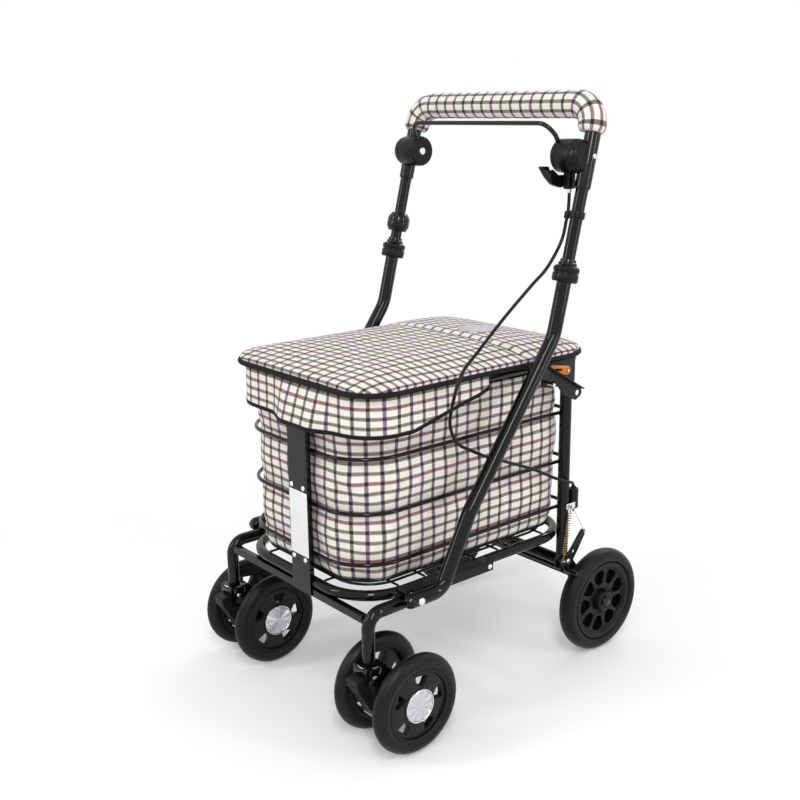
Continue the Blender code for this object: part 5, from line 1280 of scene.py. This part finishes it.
def brake_spring():
    """One wire: an eye round each peg, a neck, and the close coil between them."""
    top, low = Vector((SPRING_X, *SPRING_TOP)), Vector((SPRING_X, *SPRING_LOW))
    axis = (top - low).normalized()
    side = Vector((1, 0, 0))
    front = axis.cross(side)

    def eye(centre, start):
        angles = [math.radians(300) * step / 16 for step in range(17)]
        return [centre + (start * math.cos(a) + front * math.sin(a)) * SPRING_LOOP_R for a in angles]

    coil_low, coil_high = low + axis * SPRING_COIL_IN, top - axis * SPRING_COIL_IN
    path = [*reversed(eye(low, axis)), low + axis * SPRING_NECK_IN]
    for step in range(SPRING_CURLS * SPRING_STEPS + 1):
        angle = 2 * math.pi * step / SPRING_STEPS
        around = (side * math.sin(angle) + front * math.cos(angle)) * SPRING_R
        path.append(coil_low.lerp(coil_high, step / (SPRING_CURLS * SPRING_STEPS)) + around)
    path += [top - axis * SPRING_NECK_IN, *eye(top, -axis)]
    bar("spring_coil", path, SPRING_WIRE_D, "spring_brass", "basket_frame", ["brake_spring"], 10)


# Wheels
REAR_POCKETS = 9
POCKET = ((0.0290, 0.0050), (0.0400, 0.0112), (0.0535, 0.0142))
POCKET_RADII = [0.004, 0.012, 0.0085, 0.0085, 0.012, 0.004]


def rear_pocket(angle):
    """The outline of one opening in the rear wheel's web."""
    outward = Vector((math.cos(angle), math.sin(angle)))
    across = Vector((-outward.y, outward.x))
    corners = [outward * out - across * aside for out, aside in POCKET]
    corners += [outward * out + across * aside for out, aside in reversed(POCKET)]
    return outlined([tuple(corner) for corner in corners], POCKET_RADII, 12)


def rear_wheels():
    half = REAR_W / 2
    tyre = mirrored([
        (REAR_RIM_R + GAP, half - 0.006), (REAR_RIM_R + 0.0022, half - 0.0015),
        (REAR_RIM_R + 0.0050, half - 0.0002), (REAR_RIM_R + 0.0100, half), (REAR_R - 0.0068, half - 0.0016),
        (REAR_R - 0.0030, half - 0.0052), (REAR_R - 0.0006, half - 0.0105), (REAR_R, 0.0),
    ])
    ring = [
        (0.0545, -0.0125), (REAR_RIM_R, -0.0125), (REAR_RIM_R, 0.0125), (0.0640, 0.0135), (0.0628, 0.0120),
        (0.0575, 0.0125), (0.0552, 0.0092), (0.0538, 0.0085), (0.0538, -0.0015), (0.0545, -0.0025),
    ]
    hub = [
        (0.0044, -0.0145), (0.0170, -0.0145), (0.0195, -0.0020), (0.0268, -0.0015), (0.0268, 0.0070),
        (0.0232, 0.0074), (0.0228, 0.0052), (0.0195, 0.0050), (0.0185, 0.0085), (0.0165, 0.0165),
        (0.0120, 0.0180), (0.0115, 0.0166), (0.0044, 0.0166),
    ]
    web_holes = [circle(0, 0, 0.0255, 64), *map(rear_pocket, turns(REAR_POCKETS, 0.5))]
    web, back = (circle(0, 0, radius, 96) for radius in (0.0548, 0.0550))
    for side, sign in SIDES:
        look = ("wheel_plastic", "rear_wheel_" + side)
        place = facing_x(sign * REAR_X, REAR_Y, REAR_R, sign)
        lathe("tyre_ring_" + side, tyre, "tyre_rubber", look[1], place, ["rear_tyre_" + side], 128, 0.0012)
        lathe("rim_ring_" + side, ring, *look, place, ["rear_rim_" + side], 128)
        lathe("rim_hub_" + side, hub, *look, place, steps=96)
        web_at, back_at = (at_x(sign * (REAR_X + out), REAR_Y, REAR_R) for out in (0.0028, -0.0022))
        plate("rim_web_" + side, web, web_at, 0.0105, 0.0014, *look, holes=web_holes)
        plate("rim_back_" + side, back, back_at, 0.0014, 0.0003, *look, holes=[circle(0, 0, 0.0190, 64)])


def caster_forks():
    reach = CASTER_TRACK + CASTER_W / 2 - 0.0045
    washer = sleeve(0.0055, 0.0165, 0, 0.0016)
    for side, sign in SIDES:
        body = "caster_" + side
        dressed("caster_fork_" + side, "gloss_plastic", body, 0.0012, 3)
        x = sign * LEG_X
        ends = along_x(1, x - reach, x + reach, (AXLE_Y, CASTER_R))
        pin("caster_shaft_" + side, *ends, 0.008, "bright_metal", body, ["caster_axle_" + side])
        for face in (-1, 1):
            ends = along_x(1, x + face * 0.0150, x + face * 0.0186, (LEG_Y - 0.002, 0.1215))
            rivet(f"fork_screw_{side}_{face + 1}", *ends, 0.0075, "bright_metal", body)
        place = Matrix.Translation((x, LEG_Y, LEG_BOTTOM - 0.0030))
        lathe("stem_washer_" + side, washer, "bright_metal", body, place, steps=48, soft=0.0003)


def caster_pedals():
    tip = outlined([(-0.2720, 0.0560), (-0.2610, 0.0475), (-0.2590, 0.0490), (-0.2690, 0.0580)], 0.0008)
    for side, sign in SIDES:
        body = "caster_pedal_" + side
        dressed(body, "pedal_plastic", body)
        x = sign * LEG_X
        slab("pedal_tip_" + side, tip, x - 0.0128, x + 0.0128, "pale_plastic", body)


CAP_FACETS = 20
CAP_R = 0.0231


def cap_facets(name, body, place):
    """The silver cap's face: a fan of tilted facets, which catch the light one by one."""
    low, high = CASTER_W / 2 - 0.0044, CASTER_W / 2 - 0.0010
    rows = [[], [], []]
    for step, angle in enumerate(turns(CAP_FACETS)):
        across = Vector((math.cos(angle) * CAP_R, math.sin(angle) * CAP_R, 0))
        rise = high - (0.0020 if step % 2 else 0.0001)
        for row, share, height in zip(rows, (0.04, 1, 1), (high, rise, low)):
            row.append(place @ (across * share + Vector((0, 0, height))))
    placed(name, grid_mesh(name, rows, (False, True), caps=True), "cap_reflector", body, sharp=2)


CASTER_WINDOWS = 5
WINDOW = ((0.0285, -0.190), (0.0292, 0.060), (0.0365, 0.240), (0.0452, 0.240), (0.0452, -0.250))


def caster_window(angle):
    """The outline of one opening in a caster wheel's disc. WINDOW holds radii and angles."""
    corners = [(r * math.cos(angle + turn), r * math.sin(angle + turn)) for r, turn in WINDOW]
    return outlined(corners, 0.0014, 20)


def caster_wheels():
    half = CASTER_W / 2
    tyre = [
        (0.0497, half - 0.0060), (0.0500, half - 0.0024), (0.0512, half - 0.0012), (0.0535, half - 0.0010),
        (0.0548, half - 0.0030), (0.0562, half - 0.0012), (0.0610, half), (0.0665, half - 0.0012),
        (CASTER_R - 0.0042, half - 0.0042), (CASTER_R - 0.0010, half - 0.0088), (CASTER_R, 0.0),
        (CASTER_R - 0.0010, 0.0088 - half), (CASTER_R - 0.0042, 0.0042 - half), (0.0665, 0.0012 - half),
        (0.0610, -half), (0.0540, 0.0010 - half), (0.0505, 0.0040 - half), (0.0497, -0.0040),
    ]
    hub = [
        (0.0047, -0.0115), (0.0150, -0.0115), (0.0155, -0.0025), (0.0235, -0.0018), (0.0235, 0.0072),
        (0.0180, 0.0078), (0.0160, 0.0095), (0.0047, 0.0095),
    ]
    cap = [
        (0.0150, half - 0.0068), (0.0245, half - 0.0062), (0.0256, half - 0.0030), (0.0250, half - 0.0010),
        (0.0240, half - 0.0004), (0.0234, half - 0.0012), (0.0232, half - 0.0045), (0.0150, half - 0.0048),
    ]
    holes = [circle(0, 0, 0.0200, 48), *map(caster_window, turns(CASTER_WINDOWS, 0.15))]
    for side, sign in SIDES:
        for title, way in (("outer", 1), ("inner", -1)):
            body = f"caster_wheel_{title}_{side}"
            tag = f"{title}_{side}"
            facing = sign * way
            x = sign * (LEG_X + way * CASTER_TRACK)
            place = facing_x(x, AXLE_Y, CASTER_R, facing)
            lathe("caster_tyre_" + tag, tyre, "tyre_rubber", body, place, [body], 112, 0.0010)
            lathe("caster_hub_" + tag, hub, "disc_plastic", body, place)
            lathe("caster_cap_" + tag, cap, "bright_metal", body, place, steps=72, soft=0.0003)
            cap_facets("cap_facets_" + tag, body, place)
            disc_at = at_x(x + facing * 0.0032, AXLE_Y, CASTER_R)
            disc = circle(0, 0, 0.0498, 96)
            plate("caster_disc_" + tag, disc, disc_at, 0.0095, 0.0006, "disc_plastic", body, holes=holes)


# Soft goods
def outline_half(y):
    """Half the lid's width at this y, inside its rounded corners."""
    for edge, sign in ((LID_FRONT, 1), (LID_REAR, -1)):
        short = LID_CORNER_R - sign * (y - edge)
        if short > 0:
            return LID_HALF - LID_CORNER_R + math.sqrt(max(0, LID_CORNER_R**2 - short**2))
    return LID_HALF


LID_BASE = LID_LOW + 0.0060
LID_EDGE = 0.5238
LID_UNFILLED = LID_CROWN - 0.0045
FILL_REACH = 0.006


FILL_VOXEL = 0.0045
FILL_PRESSURE = 4.0
FILL_FRAMES = 20
RIM_HELD = 0.004


def lid_height(x, y):
    """The lid's top before it is filled: a crown that falls to the edge on all sides."""
    across = max(0, 1 - (abs(x) / outline_half(y)) ** 3.0)
    span = (y - LID_FRONT) / (LID_REAR - LID_FRONT)
    lengthwise = max(0, 1 - abs(2 * span - 1) ** 4.0)
    return LID_EDGE + (LID_UNFILLED - LID_EDGE) * (across * lengthwise) ** 0.5


def crease(x, y):
    """Small soft unevenness of stuffed cloth."""
    broad = noise.noise(Vector((x * 14, y * 14, 0.3)))
    fine = noise.noise(Vector((x * 45, y * 30, 4.1)))
    return 0.0010 * broad + 0.0005 * fine


def filled(name, mesh, held):
    """The mesh stuffed by cloth under pressure, with no point moving further than FILL_REACH."""
    rough = linked(name, mesh)
    remesh = rough.modifiers.new("Voxels", "REMESH")
    remesh.mode = "VOXEL"
    remesh.voxel_size = FILL_VOXEL
    even = evaluated(rough)
    pad = linked(name, even)
    group = pad.vertex_groups.new(name="held")
    group.add([point.index for point in even.vertices if held(point.co)], 1.0, "REPLACE")
    cloth = pad.modifiers.new("Cloth", "CLOTH")
    cloth.settings.quality = 4
    cloth.settings.use_pressure = True
    cloth.settings.uniform_pressure_force = FILL_PRESSURE
    cloth.settings.effector_weights.gravity = 0.0
    cloth.settings.vertex_group_mass = "held"
    for count in range(1, FILL_FRAMES + 1):
        bpy.context.scene.frame_set(count)
    full = evaluated(pad)
    for point, before in zip(full.vertices, even.vertices):
        move = point.co - before.co
        if move.length > FILL_REACH:
            point.co = before.co + move.normalized() * FILL_REACH
    bpy.context.scene.frame_set(1)
    return full


LID_COLUMNS = 44
LID_LINES = 56


def lid_form():
    """The lid's closed starting form: a crowned top over a flat base."""
    rows = []
    for line in range(LID_LINES + 1):
        y = LID_FRONT + (LID_REAR - LID_FRONT) * (0.5 - 0.5 * math.cos(math.pi * line / LID_LINES))
        row = []
        for column in range(LID_COLUMNS + 1):
            x = math.sin(math.pi / 2 * (2 * column / LID_COLUMNS - 1)) * outline_half(y)
            row.append(Vector((x, y, lid_height(x, y))))
        rows.append([Vector((row[0].x, y, LID_BASE)), *row, Vector((row[-1].x, y, LID_BASE))])
    return grid_mesh("lid_form", rows, (False, True), caps=True)


SEAM_DEEP = 0.0050
SEAM_WIDE = 0.0050
STRIP_RISE = 0.0012
EDGE_FADE = 0.006
SIDE_CLOTH = LID_EDGE + 0.004


def lid_cushion():
    """The stuffed top of the lid, with a sewn seam and the check running over it and down its sides."""
    def held(place):
        nearest = min(LID_HALF - abs(place.x), place.y - LID_FRONT, LID_REAR - place.y)
        return place.z < LID_BASE + 0.002 or nearest < RIM_HELD

    mesh = filled("lid_filling", lid_form(), held)
    for point in mesh.vertices:
        place = point.co
        facing = max(0.0, point.normal.z)
        rise = max(0.0, min(1.0, (place.z - LID_EDGE) / EDGE_FADE))
        seam = SEAM_DEEP * math.exp(-(((place.y - SEAM_Y) / SEAM_WIDE) ** 2))
        strip = STRIP_RISE if place.y > SEAM_Y else 0.0
        place.z += facing * rise * (crease(place.x, place.y) + strip - seam)
    cloth_map = mesh.uv_layers.new(name="cloth")
    for face in mesh.polygons:
        for corner, index in zip(face.loop_indices, face.vertices):
            point = mesh.vertices[index]
            place = point.co.xy + point.normal.xy * max(0.0, SIDE_CLOTH - point.co.z)
            cloth_map.data[corner].uv = (place.x / COLUMN, place.y / ROW)
    piece = placed("lid_top", mesh, "check_cloth", None, ["seat_lid"], 60)
    smooth = piece.modifiers.new("Smooth", "SUBSURF")
    smooth.levels = smooth.render_levels = 1
    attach(piece, "lid")


PATCH_AT = Vector((0.015, 0.095, 0.60))
PATCH_R = 0.030


PATCH_RINGS = 10


def lid_patch():
    """The round embroidered patch near the rear, left bare, which follows the cushion under it."""
    cushion = bpy.data.objects["lid_top"].data
    cloth = BVHTree.FromPolygons([p.co for p in cushion.vertices], [f.vertices for f in cushion.polygons])

    def ring(radius, lift):
        row = []
        for angle in turns(64):
            above = PATCH_AT + Vector((radius * math.cos(angle), radius * math.sin(angle), 0))
            row.append(cloth.ray_cast(above, Vector((0, 0, -1)))[0] + Vector((0, 0, lift)))
        return row

    rows = []
    for count in range(1, PATCH_RINGS + 1):
        rows.append(ring(PATCH_R * count / PATCH_RINGS, 0.0014 - 0.0006 * (count / PATCH_RINGS) ** 3))
    rows += [ring(PATCH_R, -0.0012), ring(PATCH_R / PATCH_RINGS, -0.0012)]
    placed("lid_patch", grid_mesh("lid_patch", rows, (False, True), caps=True), "patch_felt", "lid")
    for title, size in (("outer", PATCH_R - 0.0006), ("inner", PATCH_R * 0.72)):
        bar("patch_cord_" + title, ring(size, 0.0010), 0.0020, "patch_felt", "lid", sides=10, closed=True)


def lid_outline(inset, z):
    sizes = (LID_HALF - inset, LID_FRONT + inset, LID_REAR - inset)
    return flat_ring(*sizes, LID_CORNER_R - inset, LID_CORNER_R - inset, z, 4)


def lid_trim():
    """The lid's piping, the board under its cushion and its hinge knuckles."""
    piping = spaced(lid_outline(0.0006, LID_LOW + 0.0040), 0.006, True)
    bar("lid_piping", piping, 0.0076, "binding_tape", "lid", sides=16, closed=True)
    board = [(p.x, p.y) for p in lid_outline(0.0030, 0)]
    thick = LID_BASE - LID_LOW + 0.0010
    place = Matrix.Translation((0, 0, LID_LOW + thick / 2))
    plate("lid_board", board, place, thick, 0.001, "binding_tape", "lid")
    knuckle = outlined(
        [(0.1885, 0.5200), (0.1885, 0.5135), (LID_HINGE_Y, 0.5092), (0.2050, LID_HINGE_Z), (0.2035, 0.5195)],
        [0.001, 0.001, 0.0030, 0.0035, 0.003],
    )
    for count, x in enumerate((-HINGE_X, HINGE_X)):
        for half, (low, high) in enumerate(((x - 0.0090, x - 0.0024), (x + 0.0024, x + 0.0090))):
            slab(f"lid_knuckle_{count}_{half}", knuckle, low, high, "black_plastic", "lid")


HEM = (
    (-0.175, VALANCE_LOW), (-0.132, 0.4625), (-0.086, 0.4740), (-0.050, 0.4820), (-0.034, 0.4880),
    (-0.029, 0.4920),
)


def hem_height(y):
    """The valance's lower edge, which rises towards the rear."""
    if y <= HEM[0][0]:
        return VALANCE_LOW
    for (y0, z0), (y1, z1) in zip(HEM, HEM[1:]):
        if y <= y1:
            return z0 + (z1 - z0) * (y - y0) / (y1 - y0)
    return HEM[-1][1]


VALANCE_FRONT = SEAT_FRONT - SEAT_D / 2 - 0.0026
DRAPE_SLOPE = 2 * BULGE_SLOPE


def over_channel(spot):
    """How far the valance stands out at its hem, where it hangs over the channel's head."""
    if spot.y > VALANCE_FRONT + 0.001:
        return 0.0
    aside = abs(spot.x - CHANNEL_X) - (CHANNEL_W / 2 + 0.004)
    share = max(0.0, min(1.0, 1 - aside / DRAPE_SLOPE))
    return VALANCE_BULGE * share * share * (3 - 2 * share)


def valance_path():
    half, front, rear = VALANCE_HALF, VALANCE_FRONT, -0.030
    corners = [(half, rear, 0), (half, front, 0), (-half, front, 0), (-half, rear, 0)]
    return spaced(rounded(corners, [0, 0.062, 0.062, 0], 4), 0.004)


def outwards(path, closed=False):
    """The level direction away from the middle at each point of a path."""
    sides = [Vector((flow.y, -flow.x, 0)) for flow in tangents(path, closed)]
    return [side if side.dot(spot) >= 0 else -side for side, spot in zip(sides, path)]


def cloth_piece(name, mesh, node, thick, offset, body):
    """A cloth piece of even thickness, and the area of its cloth."""
    area = sum(face.area for face in mesh.polygons)
    piece = placed(name, mesh, "check_cloth", None, [node], 60)
    modifier = piece.modifiers.new("Thickness", "SOLIDIFY")
    modifier.thickness = thick
    modifier.offset = offset
    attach(piece, body)
    return piece, area


VALANCE_ROW = 0.0137


VALANCE_ROW_Z = 0.4937
VALANCE_LEVELS = 16
HEM_TAPE = (
    (0.0030, 0.0010), (0.0012, 0.0015), (-0.0022, 0.0015), (-0.0030, 0.0004), (-0.0030, -0.0006),
    (0.0030, -0.0010),
)


def valance():
    """The cloth skirt under the lid's edge, with a black binding along its hem."""
    path = valance_path()
    distance = reaches(path)
    middle = distance[-1] / 2
    top = LID_LOW - 2 * GAP
    rows = []
    hem = []
    for spot, outward, reach in zip(path, outwards(path), distance):
        low = hem_height(spot.y)
        row = []
        for level in range(VALANCE_LEVELS + 1):
            share = level / VALANCE_LEVELS
            wave = 0.0013 * share * (1 + noise.noise(Vector((reach * 22, share * 1.5, 2.0))))
            out = spot + outward * (0.0004 + wave + over_channel(spot) * share**0.7)
            row.append(Vector((out.x, out.y, top + (low - top) * share)))
        rows.append(row)
        hem.append(row[-1] + outward * 0.0002 + Vector((0, 0, 0.0024)))

    def cells(i, j):
        return ((distance[i] - middle) / COLUMN, (rows[i][j].z - VALANCE_ROW_Z) / VALANCE_ROW)

    mesh = grid_mesh("valance_cloth", rows, cells=cells)
    piece, area = cloth_piece("valance_cloth", mesh, "lid_valance", 0.0009, 0, "lid")
    strip = [
        [place + Vector((0, 0, up)) + side * out for up, out in HEM_TAPE]
        for place, (_, side, _) in zip(hem, frames(hem))
    ]
    binding = grid_mesh("valance_binding", strip, (False, True), caps=True)
    tape = placed("valance_binding", binding, "binding_tape", "lid")


BAG_BOTTOM = RING_Z + RING_D / 2 + GAP + GRID_WIRE_D + GAP


BAG_LEVELS = 60
BAG_TUCK_Z = 0.25
BAG_PURPLE_Y = -0.141
BAG_ROW_Z = 0.4375


def bag_offset(distance, z, spot):
    """How far the bag's cloth stands out from its plan: bulges between the hoops, and folds."""
    near = min(abs(z - hoop) for hoop in HOOP_Z)
    bulge = 0.0034 * min(1, near / 0.034) ** 0.8
    if z < BAG_TUCK_Z:
        low = max(0.0, (z - BAG_BOTTOM) / (BAG_TUCK_Z - BAG_BOTTOM))
        bulge = -0.0085 * (1 - low) ** 2.2 + 0.0012 * low
    corner = math.exp(-(((abs(spot.x) - 0.120) / 0.030) ** 2))
    corner *= 1 if spot.y < -0.19 or spot.y > 0.12 else 0.25
    fold = math.sin(distance * 80 + z * 22 + 5 * noise.noise(Vector((distance * 9, z * 14, 0))))
    loose = min(1, near / 0.018)
    drape = noise.noise(Vector((distance * 17, z * 11, 7.0)))
    return bulge + loose * (0.0021 * fold * (0.35 + corner) + 0.0019 * drape)


def shopping_bag():
    """The cloth tub, which bulges between the hoops and hangs in soft upright folds."""
    plan = spaced(flat_ring(BAG_HALF, BAG_FRONT, BAG_REAR, 0.068, 0.045, 0, 3), 0.005, True)
    distance = reaches([*plan, plan[0]])
    away = outwards(plan, True)
    purple = min(range(len(plan)), key=lambda k: (plan[k] - Vector((BAG_HALF, BAG_PURPLE_Y, 0))).length)
    low = BAG_BOTTOM + 0.0004
    rows = []
    for level in range(BAG_LEVELS + 1):
        z = low + (BAG_TOP - BAG_BOTTOM - 0.0004) * level / BAG_LEVELS
        row = []
        for spot, outward, reach in zip(plan, away, distance):
            out = spot + outward * bag_offset(reach, z, spot)
            row.append(Vector((out.x, out.y, z)))
        rows.append(row)

    def cells(i, j):
        return ((distance[j] - distance[purple]) / BAG_COLUMN, (rows[i][0].z - BAG_ROW_Z) / BAG_ROW)

    def loop(out, z):
        return [spot + outward * out + Vector((0, 0, z)) for spot, outward in zip(plan, away)]

    mesh = grid_mesh("bag_cloth", rows, (False, True), cells)
    piece, area = cloth_piece("bag_cloth", mesh, "shopping_bag", 0.0012, -1, "basket_frame")
    look = ("binding_tape", "basket_frame")
    base = [(p.x, p.y) for p in loop(-0.0095, 0)]
    floor_at = Matrix.Translation((0, 0, BAG_BOTTOM + 0.0016))
    floor_piece = plate("bag_floor", base, floor_at, 0.0022, 0.0004, *look)
    low_tape = bar("bag_binding", loop(-0.0068, BAG_BOTTOM + 0.0036), 0.0066, *look, sides=12, closed=True)
    top_tape = bar("bag_top_tape", loop(0.0002, BAG_TOP - 0.0015), 0.0040, *look, sides=10, closed=True)


GRIP_COLUMN = 0.02143
GRIP_COLUMN_AT = -0.003


GRIP_SIDES = 36


def grip_pad():
    """The padded sleeve on the push handle, puckered inside its bends."""
    path = spaced(loop_path(PAD_END, HANDLE_X - PAD_INSET, 3), 0.0035)
    distance = reaches(path)
    long = distance[-1]
    lean_up = Vector((0, math.sin(HANDLE_LEAN), math.cos(HANDLE_LEAN)))
    forward = Vector((0, -math.cos(HANDLE_LEAN), math.sin(HANDLE_LEAN)))
    rows = []
    for point, flow, reach in zip(path, tangents(path), distance):
        outward = forward.cross(flow).normalized()
        if outward.dot(lean_up) < 0 and abs(flow.x) > 0.3:
            outward = -outward
        end_gap = min(reach, long - reach)
        taper = 1 - 0.16 * max(0.0, 1 - end_gap / 0.009) ** 2
        bend = math.exp(-((end_gap - 0.048) / 0.022) ** 2)
        row = []
        for angle in turns(GRIP_SIDES):
            over, ahead = math.cos(angle), math.sin(angle)
            pucker = 0.0016 * bend * max(0.0, -over) * math.sin(reach * 800)
            loose = 0.0006 * noise.noise(Vector((reach * 40, over * 1.6, ahead * 1.6)))
            size = PAD_D / 2 * taper + pucker + loose - 0.0004
            row.append(point + (outward * over + forward * ahead) * size)
        rows.append(row)

    def cells(i, j):
        across = (distance[i] - long / 2 - GRIP_COLUMN_AT) / GRIP_COLUMN
        return (across, (j / GRIP_SIDES * math.pi * PAD_D - 0.004) / ROW)

    mesh = grid_mesh("grip_cloth", rows, (False, True), cells, caps=True)
    piece = placed("grip_cloth", mesh, "check_cloth", "handle_upper", ["grip_pad"], 60)


# Stage
def camera():
    """The camera that was solved from the photograph, with its roll."""
    a, e, r = CAMERA_AZIMUTH, CAMERA_ELEVATION, CAMERA_ROLL
    back = Vector((math.sin(a) * math.cos(e), -math.cos(a) * math.cos(e), math.sin(e)))
    right = Vector((math.cos(a), math.sin(a), 0))
    up = back.cross(right)
    turned_right = right * math.cos(r) + up * math.sin(r)
    turned_up = up * math.cos(r) - right * math.sin(r)
    data = bpy.data.cameras.new("camera")
    data.lens = CAMERA_LENS
    data.sensor_width = 36
    data.clip_end = 60
    eye = linked("camera", data)
    turn = Matrix((turned_right, turned_up, back)).transposed().to_4x4()
    eye.matrix_world = Matrix.Translation(CAMERA_PLACE) @ turn
    bpy.context.scene.camera = eye


def lamp(name, place, target, size, power):
    """A rectangular area lamp that points at the target."""
    data = bpy.data.lights.new(name, "AREA")
    data.shape = "RECTANGLE"
    data.size, data.size_y = size
    data.energy = power
    aim = (Vector(target) - Vector(place)).to_track_quat("-Z", "Y")
    linked(name, data).matrix_world = Matrix.Translation(place) @ aim.to_matrix().to_4x4()


def world():
    """White where it is seen, in gloss or through something clear, and softer as a light."""
    made = bpy.data.worlds.new("studio")
    bpy.context.scene.world = made
    made.use_nodes = True
    tree = made.node_tree
    background = tree.nodes["Background"]
    background.inputs["Color"].default_value = (1, 1, 1, 1)
    link(tree, ranged(tree, seen_ray(tree), 0, 1, SKY_LEVEL, 1.0), background.inputs["Strength"])


LAMPS = (
    ("key_strip", (1.9, -1.5, 2.5), (0, 0, 0.45), (0.5, 1.8), 38),
    ("front_strip", (-1.0, -2.4, 1.9), (0, 0, 0.4), (0.4, 1.5), 18),
    ("side_strip", (2.5, 0.9, 1.2), (0, 0, 0.45), (0.3, 1.6), 12),
    ("rear_strip", (-0.4, 2.4, 2.1), (0, 0, 0.5), (1.6, 0.3), 14),
)
FLOOR_HALF = 14.0


def stage():
    """The floor, the four lamps and the plain view transform."""
    half = FLOOR_HALF
    mesh = bpy.data.meshes.new("floor")
    corners = [(-half, -half, 0), (half, -half, 0), (half, half, 0), (-half, half, 0)]
    mesh.from_pydata(corners, [], [(0, 1, 2, 3)])
    floor = linked("floor", mesh)
    mesh.materials.append(floor_finish())
    for settings in LAMPS:
        lamp(*settings)
    bpy.context.scene.view_settings.view_transform = "Standard"


camera()
brake_cable()
for build in (
    base_ring, hoops, seat_frame, floor_grid, front_legs, front_bar, rear_uprights, rear_subframe,
    lower_rails, rear_axles, cable_stop, side_tubes, collars, fold_levers, safety_catches, handle_loop,
    loop_collars, hubs, brake_bail, parking_lever, brake_shoe, brake_wire, brake_spring, rear_wheels,
    caster_forks, caster_pedals, caster_wheels, lid_cushion, lid_patch, lid_trim, valance, shopping_bag,
    grip_pad, world, stage,
):
    build()
